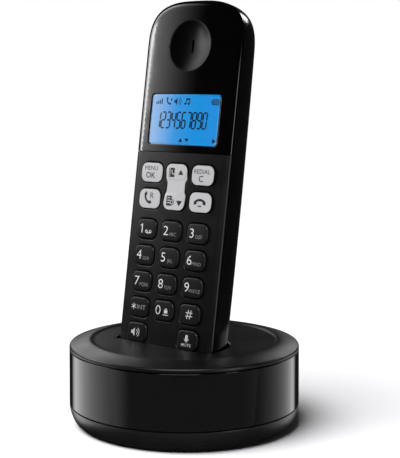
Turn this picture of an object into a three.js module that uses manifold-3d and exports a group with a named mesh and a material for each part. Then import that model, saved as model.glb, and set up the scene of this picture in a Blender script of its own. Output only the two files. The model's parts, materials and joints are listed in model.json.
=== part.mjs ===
// A cordless telephone: a slim handset leaning back in the well of a round charging base.
// Millimetres, +Z up. The front faces -Y, and the origin is on the table under the middle of the base.
// The handset and its keys are modelled upright in the handset's own frame, where x runs across, y runs
// back from the crest of the front face and z runs up from the bottom end, and its group leans them back.
import * as THREE from "three";
import { mergeVertices } from "three/addons/utils/BufferGeometryUtils.js";
import Module from "manifold-3d";

const wasm = await Module();
wasm.setup();

// ---------------------------------------------------------------- driving dimensions
const DEG = Math.PI / 180;
const GAP = 0.3; // left between pieces that meet
const WALL = 1.8; // moulded shells
const ROUND_SEGMENTS = 48; // sides of the round base
const SMALL_SEGMENTS = 12; // sides of posts, screws and buttons

const FEET_HEIGHT = 0.8; // the rubber feet hold the bottom plate this far off the table
const SEAM_Z = 8.6; // joint between the bottom shell and the side band
const SEAM_RADIUS = 47.2; // the base's widest ring
const PLATE_RADIUS = 43.6; // flat underside
const BAND_TOP_Z = 31.5;
const BAND_TOP_RADIUS = 47.0;
const BAND_INNER_RADIUS = 45.4;
const LIP_RADIUS = 45.1; // lips of the bottom shell and the cover, inside the band
const LIP_INNER_RADIUS = 43.7;
const CREST_RADIUS = 38.8; // the cover's raised ring round the dish
const CREST_Z = 34.9;
const DISH_Z = 34.1;
const DISH_UNDERSIDE_Z = 32.1;

const PANEL_HALF_WIDTH = 20; // flat connector panel in a notch of the band, at the back
const PANEL_Y = 41.9;
const PANEL_TOP_Z = 22.5;
const LINE_JACK = { left: -17, right: -5, top: 19, mouthLow: 9.6, mouthHigh: 16.2 };
const POWER_JACK = { x: 5, z: 12.4, halfWidth: 4.5, top: 17.2, bore: 2.9, pin: 0.8 };
const PAGING = { x: 14.8, z: 12, radius: 2.6 };

const LEAN = 9 * DEG;
const HANDSET_Y = -18.5; // where the bottom of the handset's front face stands
const HANDSET_Z = 13.7;
const HALF_WIDTH = 24;
const LENGTH = 160;
const TOP_END = 19.2; // height of the curved top end, and of the bottom end
const BOTTOM_END = 12;
const END_POWER = 3; // superellipse power of the ends
const CROWN_RADIUS = 204; // the front face bulges on this radius
const BEVEL = 2.7; // rounding of the front face's edge
const PARTING = 3.2; // depth of the joint between the front and rear shells
const DEPTH = 25.4;
const BACK_POWER = 2.5; // superellipse power of the rear shell's section
const BACK_END_TAPER = 12; // how far the ends draw in towards the back

const FASCIA_THICKNESS = 1.3; // gloss plate over the upper front
const FASCIA_Z = 98.5; // its lower edge
const WINDOW = { z: 111.8, width: 35.2, height: 20.4, corner: 1.4 };
const EARPIECE = { z: 141.5, radius: 10.15, depth: 2.2 };

const COLUMN = 13; // key spacing across
const KEY = { width: 10.2, height: 8, corner: 2.6 };
const SILVER_KEY = { width: 11, height: 8, corner: 2.8 };
const KEY_PROUD = 0.7; // how far a key stands out of the face
const KEY_FLANGE = 0.8; // how far its flange reaches under the face
const FLANGE_BACK_Y = 3.8;
const ROWS = { menu: 89.9, talk: 79.2, one: 66.8, four: 56.1, seven: 45.4, star: 34.8, bottom: 24.5 };
const ROCKER = { z: (ROWS.menu + ROWS.talk) / 2, width: 10.8, waist: 9.2, height: 18.7, corner: 2.8 };
ROCKER.tilt = 0.7; // room above its flange for either end to rise

const MAT_Y = 4.9;
const BOARD = { y: 7.6, thickness: 1.2, halfWidth: 20, bottom: 7, top: 128.5 };
const CELL = { radius: 5.25, length: 44.5, x: 5.6, y: 16.0, bottom: 44 };
const BAY = { halfWidth: 11.8, bottom: 40.2, top: 91, floor: 10.5, wall: 1.3 };
const DOOR = { halfWidth: 16, bottom: 34, top: 96, thickness: 1.4, corner: 5 };
const HANDSET_SCREW = { x: 17.3, z: 133.5 };
const CHARGE = { x: 9, y: 12.5 }; // charging pads and the contacts below them

const WELL_FLOOR = -0.3; // floor of the base's well, in the handset's frame
const WELL_WALL = 1.6;
const BOARD_TOP_Z = 5.0; // base circuit board
const BASE_SCREWS = [[0, -31], [33, 14], [-33, 14]];
const FEET = [[1, -1], [-1, -1], [1, 1], [-1, 1]].map(([x, y]) => [x * 24.7, y * 24.7]);

// ---------------------------------------------------------------- solids
// A closed geometry as a solid, with its faces turned outwards.
function solid(geometry) {
  const bare = geometry.index ? geometry.toNonIndexed() : geometry.clone();
  bare.deleteAttribute("normal");
  bare.deleteAttribute("uv");
  const merged = mergeVertices(bare, 1e-3);
  const build = (triVerts) =>
    new wasm.Manifold(
      new wasm.Mesh({ numProp: 3, vertProperties: merged.attributes.position.array, triVerts }),
    );
  const faces = new Uint32Array(merged.index.array);
  const made = build(faces);
  if (made.volume() >= 0) return made;
  for (let i = 0; i < faces.length; i += 3) [faces[i], faces[i + 1]] = [faces[i + 1], faces[i]];
  return build(faces);
}

function geometryOf(body) {
  const mesh = body.getMesh();
  const position = new Float32Array(mesh.numVert * 3);
  for (let i = 0; i < mesh.numVert; i++) {
    const start = i * mesh.numProp;
    position.set(mesh.vertProperties.subarray(start, start + 3), i * 3);
  }
  return new THREE.BufferGeometry()
    .setAttribute("position", new THREE.BufferAttribute(position, 3))
    .setIndex(new THREE.BufferAttribute(mesh.triVerts, 1));
}

const join = (first, ...others) => others.reduce((all, other) => all.add(other), first);
const cut = (first, ...others) => others.reduce((left, other) => left.subtract(other), first);

function box([x0, x1], [y0, y1], [z0, z1]) {
  const geometry = new THREE.BoxGeometry(x1 - x0, y1 - y0, z1 - z0);
  return solid(geometry.translate((x0 + x1) / 2, (y0 + y1) / 2, (z0 + z1) / 2));
}

// A cylinder standing at (x, y) from z0 up to z1.
function post(x, y, radius, z0, z1, segments = SMALL_SEGMENTS) {
  const geometry = new THREE.CylinderGeometry(radius, radius, z1 - z0, segments);
  return solid(geometry.rotateX(Math.PI / 2).translate(x, y, (z0 + z1) / 2));
}

// A cylinder lying along y, centred on (x, z).
function peg(x, z, radius, y0, y1, segments = SMALL_SEGMENTS) {
  const geometry = new THREE.CylinderGeometry(radius, radius, y1 - y0, segments);
  return solid(geometry.translate(x, (y0 + y1) / 2, z));
}

// A closed profile of [radius, z] points turned about the z axis.
function turned(profile, segments = ROUND_SEGMENTS) {
  const points = [...profile, profile[0]].map(([r, z]) => new THREE.Vector2(r, z));
  return solid(new THREE.LatheGeometry(points, segments).rotateX(Math.PI / 2));
}

// Rings of points joined into a skin, with each end closed by its own list of triangles.
function skin(rings, firstCap, lastCap, extra = []) {
  const count = rings[0].length;
  const points = [...rings.flat(), ...extra];
  const index = [...firstCap, ...lastCap];
  for (let r = 0; r + 1 < rings.length; r++) {
    for (let i = 0; i < count; i++) {
      const a = r * count + i;
      const b = r * count + ((i + 1) % count);
      index.push(a, b, a + count, b, b + count, a + count);
    }
  }
  const geometry = new THREE.BufferGeometry().setFromPoints(points);
  return solid(geometry.setIndex(index));
}

// ---------------------------------------------------------------- flat outlines, in x and z
function roundedRectangle(width, height, corner, steps = 2) {
  const points = [];
  const corners = [[1, -1, -90], [1, 1, 0], [-1, 1, 90], [-1, -1, 180]];
  for (const [sx, sz, start] of corners) {
    for (let i = 0; i <= steps; i++) {
      const angle = (start + (90 * i) / steps) * DEG;
      const x = sx * (width / 2 - corner) + corner * Math.cos(angle);
      points.push(new THREE.Vector2(x, sz * (height / 2 - corner) + corner * Math.sin(angle)));
    }
  }
  return points;
}

// The rocker's outline: two rounded pads joined by a narrower waist.
function rockerOutline(grow = 0) {
  const { width, waist, height, corner } = ROCKER;
  const outer = roundedRectangle(width + 2 * grow, height + 2 * grow, corner + grow);
  const right = [[waist / 2 + grow, -1.7], [waist / 2 + grow, 1.7]];
  const side = (sign) => [
    [sign * (width / 2 + grow), -sign * 2.7],
    ...right.map(([x, z]) => [sign * x, sign * z]),
    [sign * (width / 2 + grow), sign * 2.7],
  ].map(([x, z]) => new THREE.Vector2(x, z));
  const half = outer.length / 2;
  return [...outer.slice(0, half / 2), ...side(1), ...outer.slice(half / 2, (3 * half) / 2),
    ...side(-1), ...outer.slice((3 * half) / 2)];
}

// Stacks outlines along y at (x, z): each level is [y, outline], and all outlines have as many points.
function stack(levels, x, z) {
  const rings = levels.map(([y, outline]) => outline.map((p) => new THREE.Vector3(x + p.x, y, z + p.y)));
  const cap = (outline) => THREE.ShapeUtils.triangulateShape(outline, []);
  const lastStart = (levels.length - 1) * rings[0].length;
  const first = cap(levels[0][1]).flatMap(([a, b, c]) => [a, c, b]);
  const last = cap(levels.at(-1)[1]).flat().map((i) => i + lastStart);
  return skin(rings, first, last);
}

const prism = (outline, y0, y1, x, z) => stack([[y1, outline], [y0, outline]], x, z);

// ---------------------------------------------------------------- the handset's outer form
const crown = (x) => (x * x) / (2 * CROWN_RADIUS);

// Depth of the handset from front to back at height z: thickest over the batteries.
function depthAt(z) {
  const fullest = 55;
  if (z > fullest) return DEPTH - 3 * ((z - fullest) / (LENGTH - fullest)) ** 2;
  return DEPTH - 2 * ((fullest - z) / fullest) ** 2;
}

// The front view's outline: the right half from the bottom up, then the left half down.
function handsetOutline() {
  const power = 2 / END_POWER;
  const half = [];
  for (let i = 0; i <= 6; i++) {
    const t = i * 15 * DEG;
    half.push([HALF_WIDTH * Math.sin(t) ** power, BOTTOM_END * (1 - Math.max(0, Math.cos(t)) ** power)]);
  }
  for (const z of [34, 56, 78, 98, 120]) half.push([HALF_WIDTH, z]);
  for (let i = 0; i <= 8; i++) {
    const t = (i * 90 * DEG) / 8;
    half.push([
      i === 8 ? 0 : HALF_WIDTH * Math.cos(t) ** power,
      LENGTH - TOP_END * (1 - Math.sin(t) ** power),
    ]);
  }
  return [...half, ...half.slice(1, -1).reverse().map(([x, z]) => [-x, z])];
}
const OUTLINE = handsetOutline();
const HALF_COUNT = OUTLINE.length / 2; // the bottom centre is point 0, the top centre this one

// The outline drawn in by an inset on every side: the straight sides stay level and the ends shrink.
function insetOutline(inset) {
  const topStart = LENGTH - TOP_END;
  return OUTLINE.map(([x, z]) => {
    let height = z;
    if (z > topStart) height = topStart + ((z - topStart) * (TOP_END - inset)) / TOP_END;
    if (z < BOTTOM_END) height = BOTTOM_END - ((BOTTOM_END - z) * (BOTTOM_END - inset)) / BOTTOM_END;
    return [(x * (HALF_WIDTH - inset)) / HALF_WIDTH, height];
  });
}

// Triangles that close a ring by joining each right-hand point to its mirror image.
function mirroredCap(start, flip) {
  const index = [];
  for (let i = 0; i < HALF_COUNT; i++) {
    const left = (k) => start + ((2 * HALF_COUNT - k) % (2 * HALF_COUNT));
    const [a, b, c, d] = [start + i, start + i + 1, left(i + 1), left(i)];
    const quad = [];
    if (i > 0) quad.push([a, b, d]);
    if (i + 1 < HALF_COUNT) quad.push([b, c, d]);
    for (const [p, q, r] of i === 0 ? [[a, b, c]] : quad) index.push(...(flip ? [p, r, q] : [p, q, r]));
  }
  return index;
}

// Everything in front of the parting plane, drawn in by inset; the crowned face is closed in strips.
function frontForm(inset, backY = PARTING) {
  const rings = [0, 30, 60, 90].map((degrees, k) => {
    const turn = degrees * DEG;
    const points = insetOutline(inset + BEVEL * (1 - Math.cos(turn)));
    return points.map(([x, z]) => {
      const face = crown(x) + inset;
      const y = k === 0 ? backY : PARTING - (PARTING - face) * Math.sin(turn);
      return new THREE.Vector3(x, y, z);
    });
  });
  const columns = 6;
  const edge = rings.at(-1);
  const lastStart = (rings.length - 1) * edge.length;
  const extra = [];
  const extraStart = rings.length * edge.length;
  const at = (i, j) => {
    if (i === 0 || i === HALF_COUNT || j === 0) return lastStart + i;
    if (j === columns) return lastStart + 2 * HALF_COUNT - i;
    return extraStart + (i - 1) * (columns - 1) + j - 1;
  };
  for (let i = 1; i < HALF_COUNT; i++) {
    for (let j = 1; j < columns; j++) {
      const x = edge[i].x * (1 - (2 * j) / columns);
      extra.push(new THREE.Vector3(x, crown(x) + inset, edge[i].z));
    }
  }
  const face = [];
  for (let i = 0; i < HALF_COUNT; i++) {
    for (let j = 0; j < columns; j++) {
      const [a, b, c, d] = [at(i, j), at(i + 1, j), at(i + 1, j + 1), at(i, j + 1)];
      if (a !== d) face.push(a, b, d);
      if (b !== c) face.push(b, c, d);
    }
  }
  return skin(rings, mirroredCap(0, true), face, extra);
}

// Everything behind the parting plane, drawn in by inset.
function rearForm(inset, frontY = PARTING + GAP) {
  const power = 2 / BACK_POWER;
  const rings = [0, 15, 30, 45, 60, 78].map((degrees, k) => {
    const across = Math.cos(degrees * DEG) ** power;
    const back = Math.sin(degrees * DEG) ** power;
    const along = 1 - (BACK_END_TAPER / (LENGTH / 2)) * (1 - across);
    return insetOutline(inset).map(([x, z], i) => {
      const reach = depthAt(OUTLINE[i][1]) - PARTING - inset;
      const y = k === 0 ? frontY : PARTING + reach * back;
      return new THREE.Vector3(x * across, y, LENGTH / 2 + (z - LENGTH / 2) * along);
    });
  });
  const lastStart = (rings.length - 1) * rings[0].length;
  return skin(rings, mirroredCap(0, true), mirroredCap(lastStart, false));
}

// ---------------------------------------------------------------- keys
const digit = (name, column, z) => ({ name, x: column * COLUMN, z, size: KEY, material: "keyBlack" });
const silver = (name, column, z) => ({ name, x: column * COLUMN, z, size: SILVER_KEY, material: "keySilver" });
const KEYS = [
  silver("key_menu_ok", -1, ROWS.menu), silver("key_redial_clear", 1, ROWS.menu),
  silver("key_talk", -1, ROWS.talk), silver("key_end_call", 1, ROWS.talk),
  digit("key_1", -1, ROWS.one), digit("key_2", 0, ROWS.one), digit("key_3", 1, ROWS.one),
  digit("key_4", -1, ROWS.four), digit("key_5", 0, ROWS.four), digit("key_6", 1, ROWS.four),
  digit("key_7", -1, ROWS.seven), digit("key_8", 0, ROWS.seven), digit("key_9", 1, ROWS.seven),
  digit("key_star", -1, ROWS.star), digit("key_0", 0, ROWS.star), digit("key_hash", 1, ROWS.star),
  digit("key_speaker", -1, ROWS.bottom), digit("key_mute", 1, ROWS.bottom),
];

const keyOutline = ({ width, height, corner }, grow) =>
  roundedRectangle(width + 2 * grow, height + 2 * grow, corner + grow);

// A key: a flange under the face, straight sides through the face and a softened top.
function keySolid(outline, x, z, travel = 0) {
  const face = crown(x) - KEY_PROUD;
  const flange = crown(Math.abs(x) + 6.3) + WALL + GAP + travel;
  return stack(
    [
      [FLANGE_BACK_Y, outline(KEY_FLANGE)], [flange, outline(KEY_FLANGE)], [flange, outline(0)],
      [face + 0.45, outline(0)], [face, outline(-0.5)],
    ],
    x, z,
  );
}

const keyHole = (outline, x, z) => prism(outline(GAP), -3, 4, x, z);

// ---------------------------------------------------------------- handset shells
const windowHole = (grow, y0, y1) =>
  prism(roundedRectangle(WINDOW.width + 2 * grow, WINDOW.height + 2 * grow, WINDOW.corner + grow),
    y0, y1, 0, WINDOW.z);

const aboveFascia = (z0) => box([-40, 40], [-5, 30], [z0, LENGTH + 5]);

// The ball whose cap is the dished earpiece.
function earpieceBall() {
  const { radius, depth, z } = EARPIECE;
  const ball = (radius ** 2 + depth ** 2) / (2 * depth);
  return solid(new THREE.SphereGeometry(ball, 32, 24).rotateX(Math.PI / 2).translate(0, depth - ball, z));
}

function upperFascia() {
  const skinPart = cut(frontForm(0), frontForm(FASCIA_THICKNESS, PARTING + 1));
  const cup = peg(0, EARPIECE.z, EARPIECE.radius + 1.4, 0.6, EARPIECE.depth + 1.2, 24);
  const slot = box([-0.5, 0.5], [0, 6], [EARPIECE.z - 2.6, EARPIECE.z + 2.6]);
  const whole = join(skinPart, cup).intersect(aboveFascia(FASCIA_Z + GAP / 2));
  return cut(whole, earpieceBall(), slot, windowHole(0, -3, 6));
}

function displayLens() {
  const plate = cut(frontForm(0.15), frontForm(FASCIA_THICKNESS, PARTING + 1));
  return plate.intersect(windowHole(-GAP, -3, 6));
}

// The structural front shell: the whole keypad face, and a frame under the gloss fascia.
function frontShell() {
  const step = cut(aboveFascia(FASCIA_Z - GAP / 2), frontForm(FASCIA_THICKNESS + GAP, PARTING + 1));
  const screwPosts = [-1, 1].map((s) => peg(s * HANDSET_SCREW.x, HANDSET_SCREW.z, 2.6, 2.9, 8.2));
  const pilots = [-1, 1].map((s) => peg(s * HANDSET_SCREW.x, HANDSET_SCREW.z, 1.4, 4.2, 9));
  const hollow = frontForm(FASCIA_THICKNESS + GAP + 1.2, PARTING + 1);
  const lowerHollow = frontForm(WALL, PARTING + 1).intersect(box([-40, 40], [-5, 30], [-5, FASCIA_Z - 2]));
  const holes = KEYS.map(({ x, z, size }) => keyHole((grow) => keyOutline(size, grow), x, z));
  return cut(
    join(cut(frontForm(0), step, hollow, lowerHollow), ...screwPosts),
    ...holes,
    ...pilots,
    keyHole(rockerOutline, 0, ROCKER.z),
    prism(roundedRectangle(41, 24, 1), -1, 6, 0, WINDOW.z),
    peg(0, EARPIECE.z, EARPIECE.radius + 1.4 + GAP, -1, 6, 24),
    peg(0, 12, 0.7, -1, 6, 8),
  );
}

// The door's footprint, run through the rear shell; its lower edge slopes 45 degrees for the way it slides.
function doorBlock(grow, y0) {
  const { halfWidth, bottom, top, corner } = DOOR;
  const [left, right, high] = [-halfWidth - grow, halfWidth + grow, top + grow];
  const rounded = roundedRectangle(2 * (halfWidth + grow), 2 * (high - bottom + 20), corner);
  const plan = prism(rounded, y0, 32, 0, bottom - 20);
  const y = depthAt(bottom);
  const low = bottom - grow;
  const side = [[y0, low + y - y0], [32, low + y - 32], [32, high], [y0, high]];
  const shape = new THREE.Shape(side.map(([sy, sz]) => new THREE.Vector2(sy, sz)));
  const slab = new THREE.ExtrudeGeometry(shape, { depth: right - left, bevelEnabled: false });
  const turn = new THREE.Matrix4().makeBasis(
    new THREE.Vector3(0, 1, 0), new THREE.Vector3(0, 0, 1), new THREE.Vector3(1, 0, 0));
  return solid(slab.applyMatrix4(turn).translate(left, 0, 0)).intersect(plan);
}

function rearShell() {
  const { halfWidth, bottom, top, floor, wall } = BAY;
  const tray = box([-halfWidth - wall, halfWidth + wall], [floor - wall, 23], [bottom - wall, top + wall]);
  const frame = cut(rearForm(DOOR.thickness + GAP), rearForm(DOOR.thickness + GAP + 1.4))
    .intersect(box([-18.5, 18.5], [12, 30], [bottom - 9, 99]));
  const bosses = [-1, 1].map((s) => peg(s * HANDSET_SCREW.x, HANDSET_SCREW.z, 3.3, 8.6, 22));
  const shell = cut(rearForm(0), rearForm(WALL, PARTING - 1));
  const inner = join(tray, ...bosses).intersect(rearForm(0.8));
  const counterbores = [-1, 1].map((s) => peg(s * HANDSET_SCREW.x, HANDSET_SCREW.z, 2.3, 11, 30));
  const screwHoles = [-1, 1].map((s) => peg(s * HANDSET_SCREW.x, HANDSET_SCREW.z, 1.4, 5, 14));
  const grille = [-2, -1, 0, 1, 2].map((i) => box([-5, 5], [16, 30], [114 + 3 * i - 0.6, 114 + 3 * i + 0.6]));
  const pads = [-1, 1].map((s) =>
    box([s * CHARGE.x - 2.8, s * CHARGE.x + 2.8], [CHARGE.y - 3.8, CHARGE.y + 3.8], [-2, 3.2]));
  return cut(
    join(shell, frame, inner),
    cut(doorBlock(GAP, 12), rearForm(DOOR.thickness + GAP, PARTING - 1)),
    box([-halfWidth, halfWidth], [floor, 30], [bottom, top]).intersect(rearForm(-1)),
    ...counterbores, ...screwHoles, ...grille, ...pads,
  );
}

function batteryDoor() {
  const plate = cut(rearForm(0), rearForm(DOOR.thickness, PARTING - 1)).intersect(doorBlock(0, 12));
  const proud = cut(rearForm(-0.4), rearForm(0.5, PARTING - 1));
  const ridges = [0, 1, 2, 3].map((i) => box([-7, 7], [15, 30], [84 - 3 * i, 85.2 - 3 * i]).intersect(proud));
  return join(plate, ...ridges);
}

// ---------------------------------------------------------------- inside the handset
function keypadMat() {
  const sheet = prism(roundedRectangle(39, 78, 2), MAT_Y, MAT_Y + 1, 0, 57);
  const nubs = [...KEYS, { x: 0, z: ROWS.menu }, { x: 0, z: ROWS.talk }].map(({ x, z }) =>
    peg(x, z, 2, MAT_Y + 0.5, BOARD.y - 0.6, 6));
  return join(sheet, ...nubs);
}

function handsetBoard() {
  const { y, thickness, halfWidth, bottom, top } = BOARD;
  return prism(roundedRectangle(2 * halfWidth, top - bottom, 4), y, y + thickness, 0, (top + bottom) / 2);
}

// A dry cell with its small positive cap.
function batteryCell(x, capUp) {
  const middle = CELL.bottom + CELL.length / 2;
  const body = post(x, CELL.y, CELL.radius, CELL.bottom + (capUp ? 0 : 1), CELL.bottom + CELL.length - (capUp ? 1 : 0), 24);
  const cap = post(x, CELL.y, 1.9, capUp ? middle : CELL.bottom, capUp ? CELL.bottom + CELL.length : middle);
  return join(body, cap);
}

// A conical coil spring drawn as stepped rings on its plate.
function batterySpring(x) {
  const plate = box([x - 4.4, x + 4.4], [CELL.y - 4.6, CELL.y + 4.6], [BAY.bottom + GAP, BAY.bottom + 0.8]);
  const coils = [[4.0, 0.8, 1.5], [3.3, 1.5, 2.2], [2.6, 2.2, 2.9], [1.9, 2.9, 3.4]];
  const turns = coils.map(([r, z0, z1]) => post(x, CELL.y, r, BAY.bottom + z0 - 0.05, BAY.bottom + z1, 10));
  return join(plate, ...turns);
}

// The plate that joins the two cells at their upper ends.
function batteryLink() {
  const z = CELL.bottom + CELL.length + GAP;
  const plate = box([-10, 10], [CELL.y - 4, CELL.y + 4], [z + 0.6, z + 1.2]);
  const dimple = post(CELL.x, CELL.y, 2.2, z, z + 0.8);
  return join(plate, dimple);
}

function loudspeaker(z, y0, radius, height) {
  return join(
    peg(0, z, radius, y0, y0 + height * 0.45, 20),
    peg(0, z, radius * 0.62, y0, y0 + height, 16),
  );
}

const chargePad = (x) => box([x - 2.5, x + 2.5], [CHARGE.y - 3.5, CHARGE.y + 3.5], [0.9, 1.3]);

function handsetScrew(x) {
  const head = peg(x, HANDSET_SCREW.z, 1.9, 11 + GAP, 12.7);
  const shank = peg(x, HANDSET_SCREW.z, 1.1, 4.8, 12);
  return cut(join(head, shank), box([x - 1.2, x + 1.2], [12.2, 13], [HANDSET_SCREW.z - 0.3, HANDSET_SCREW.z + 0.3]));
}

// ---------------------------------------------------------------- base
const HANDSET_MATRIX = new THREE.Matrix4()
  .makeRotationX(-LEAN)
  .setPosition(0, HANDSET_Y, HANDSET_Z);

// The well's plan in the handset's frame: straight in front, rounded like the rear shell behind.
function wellPlan(grow) {
  const halfWidth = HALF_WIDTH + 1.2 + grow;
  const front = -1.3 - grow;
  const corner = 4 + grow;
  const reach = 22.2 + grow;
  const points = [];
  for (let i = 0; i <= 4; i++) {
    const t = i * 22.5 * DEG;
    points.push([halfWidth - corner + corner * Math.sin(t), front + corner * (1 - Math.cos(t))]);
  }
  for (let i = 1; i < 12; i++) {
    const t = i * 15 * DEG;
    const x = halfWidth * Math.sign(Math.cos(t)) * Math.abs(Math.cos(t)) ** (2 / BACK_POWER);
    points.push([x, PARTING + reach * Math.sin(t) ** (2 / BACK_POWER)]);
  }
  for (let i = 4; i >= 0; i--) {
    const t = i * 22.5 * DEG;
    points.push([-halfWidth + corner - corner * Math.sin(t), front + corner * (1 - Math.cos(t))]);
  }
  return new THREE.Shape(points.map(([x, y]) => new THREE.Vector2(x, y)));
}

// The well's plan run along the handset's length from z0 to z1, in the base's frame.
function wellPrism(grow, z0, z1) {
  const geometry = new THREE.ExtrudeGeometry(wellPlan(grow), { depth: z1 - z0, bevelEnabled: false });
  return solid(geometry.translate(0, 0, z0).applyMatrix4(HANDSET_MATRIX));
}

const leaning = (body) => solid(geometryOf(body).applyMatrix4(HANDSET_MATRIX));

function topCover() {
  const plate = turned([
    [0, DISH_Z], [CREST_RADIUS - 1.6, DISH_Z], [CREST_RADIUS - 0.6, CREST_Z - 0.2], [CREST_RADIUS, CREST_Z],
    [43, CREST_Z - 0.8], [46.3, CREST_Z - 1.7], [46.8, CREST_Z - 2.3], [BAND_TOP_RADIUS, BAND_TOP_Z],
    [LIP_RADIUS, BAND_TOP_Z - 0.1], [LIP_RADIUS, BAND_TOP_Z - 4], [LIP_INNER_RADIUS, BAND_TOP_Z - 4],
    [LIP_INNER_RADIUS, DISH_UNDERSIDE_Z - 0.6], [42, DISH_UNDERSIDE_Z], [0, DISH_UNDERSIDE_Z],
  ]);
  const well = wellPrism(WELL_WALL, WELL_FLOOR - WELL_WALL, 32).intersect(box([-45, 45], [-45, 45], [0, 33]));
  const posts = BASE_SCREWS.map(([x, y]) => post(x, y, 3.2, 6.3, DISH_UNDERSIDE_Z + 0.5));
  const pilots = BASE_SCREWS.map(([x, y]) => post(x, y, 1.6, 6, 16));
  const slots = [-1, 1].map((s) =>
    leaning(box([s * CHARGE.x - 2.2, s * CHARGE.x + 2.2], [6.6, 17.8], [-4, 1])));
  return cut(join(plate, well, ...posts), wellPrism(0, WELL_FLOOR, 60), ...pilots, ...slots);
}

function sideBand() {
  const ring = turned([
    [SEAM_RADIUS, SEAM_Z + GAP], [BAND_TOP_RADIUS, BAND_TOP_Z - GAP],
    [BAND_INNER_RADIUS, BAND_TOP_Z - GAP - 0.1], [BAND_INNER_RADIUS, SEAM_Z + GAP],
  ]);
  return cut(ring, box([-PANEL_HALF_WIDTH, PANEL_HALF_WIDTH], [30, 50], [0, PANEL_TOP_Z]));
}

function bottomShell() {
  const rise = SEAM_Z - FEET_HEIGHT;
  const outer = [0, 0.12, 0.3, 0.55, 1].map((t) => [
    PLATE_RADIUS + (SEAM_RADIUS - PLATE_RADIUS) * (1 - (1 - t) ** 1.6) ** (1 / 1.6),
    FEET_HEIGHT + rise * t,
  ]);
  const bowl = turned([
    [0, FEET_HEIGHT], ...outer, [LIP_RADIUS, SEAM_Z], [LIP_RADIUS, SEAM_Z + 4.5],
    [LIP_INNER_RADIUS, SEAM_Z + 4.5], [LIP_INNER_RADIUS, SEAM_Z], [43, 5], [41, FEET_HEIGHT + 2],
    [0, FEET_HEIGHT + 2],
  ]);
  const edge = PANEL_HALF_WIDTH - GAP;
  const panel = box([-edge, edge], [PANEL_Y - 2, PANEL_Y], [FEET_HEIGHT + 1, PANEL_TOP_Z - GAP]);
  const recess = box([-edge, edge], [PANEL_Y, 50], [SEAM_Z, 30]);
  const ledge = box([-edge, edge], [PANEL_Y - 1, 44.4], [SEAM_Z - 1.6, SEAM_Z]);
  const bosses = BASE_SCREWS.map(([x, y]) => post(x, y, 4.6, FEET_HEIGHT + 1, 6));
  const holes = BASE_SCREWS.flatMap(([x, y]) => [post(x, y, 1.7, 0, 7), post(x, y, 3.4, 0, 3.4)]);
  const footSeats = FEET.map(([x, y]) => post(x, y, 4.8, 0, FEET_HEIGHT + 1, 16));
  const jackHole = box([LINE_JACK.left - GAP, LINE_JACK.right + GAP], [30, 50], [BOARD_TOP_Z, LINE_JACK.top + GAP]);
  const reach = POWER_JACK.halfWidth + GAP;
  const powerHole = box([POWER_JACK.x - reach, POWER_JACK.x + reach], [30, 50], [BOARD_TOP_Z, POWER_JACK.top + GAP]);
  const keepWall = box([-edge, edge], [PANEL_Y, 50], [0, SEAM_Z]);
  const body = cut(join(bowl, panel, ledge, ...bosses), recess, ...holes, ...footSeats);
  const buttonHole = peg(PAGING.x, PAGING.z, PAGING.radius + GAP, 30, 50);
  return cut(body, cut(join(jackHole, powerHole), keepWall), buttonHole);
}

// The telephone line's socket, with the groove for the plug's latch above its mouth.
function lineJack() {
  const { left, right, top, mouthLow, mouthHigh } = LINE_JACK;
  const middle = (left + right) / 2;
  const body = box([left, right], [28, PANEL_Y - GAP], [BOARD_TOP_Z + GAP, top]);
  const mouth = box([left + 1.1, right - 1.1], [31, 50], [mouthLow, mouthHigh]);
  const latch = box([middle - 2, middle + 2], [31, 50], [mouthHigh - 0.2, mouthHigh + 1.8]);
  return cut(body, mouth, latch);
}

// The adaptor's socket: a round bore with a pin in its middle.
function powerJack() {
  const { x, z, halfWidth, top, bore, pin } = POWER_JACK;
  const body = box([x - halfWidth, x + halfWidth], [30, PANEL_Y - GAP], [BOARD_TOP_Z + GAP, top]);
  return join(cut(body, peg(x, z, bore, 32.5, 50, 16)), peg(x, z, pin, 32, 40, 8));
}

function pagingButton() {
  const { x, z, radius } = PAGING;
  return join(peg(x, z, radius, 37.5, 43.2, 16), peg(x, z, radius + 0.9, 38.2, 39.4, 16));
}

function pagingSwitch() {
  const { x, z } = PAGING;
  return join(box([x - 3, x + 3], [32, 35.6], [BOARD_TOP_Z + GAP, z + 3]), peg(x, z, 1.5, 35, 36.2, 8));
}

function baseBoard() {
  const disc = post(0, 0, 41, BOARD_TOP_Z - 1.2, BOARD_TOP_Z, ROUND_SEGMENTS);
  const bites = BASE_SCREWS.map(([x, y]) => post(x, y, 5.2, 0, 8));
  return cut(disc, box([-50, 50], [-50, -24], [0, 8]), box([-20.5, 20.5], [39.4, 50], [0, 8]), ...bites);
}

// Bent strip that stands on the board and radiates.
function baseAntenna() {
  const z = BOARD_TOP_Z + GAP;
  return join(
    box([-34, -20], [22, 22.6], [z + 8, z + 13]),
    box([-34, -31.5], [22, 22.6], [z, z + 9]),
    box([-24, -22.5], [22, 22.6], [z, z + 9]),
  );
}

const radioShield = () => box([-6.3, 6.3], [-17, -2], [BOARD_TOP_Z + GAP, BOARD_TOP_Z + 2.2]);

// A bent leaf spring whose knee reaches up through the well's floor, in the handset's frame.
function chargeContact(x) {
  const knee = [
    [8.0, -5.6], [11.6, 0.6], [13.4, 0.6], [16.6, -3.6], [16.1, -3.95], [13.1, 0.05], [11.9, 0.05],
    [8.6, -5.6],
  ];
  const shape = new THREE.Shape(knee.map(([y, z]) => new THREE.Vector2(y, z)));
  const strip = new THREE.ExtrudeGeometry(shape, { depth: 3, bevelEnabled: false });
  const turn = new THREE.Matrix4().makeBasis(
    new THREE.Vector3(0, 1, 0), new THREE.Vector3(0, 0, 1), new THREE.Vector3(1, 0, 0));
  return solid(strip.applyMatrix4(turn).translate(x - 1.5, 0, 0));
}

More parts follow.
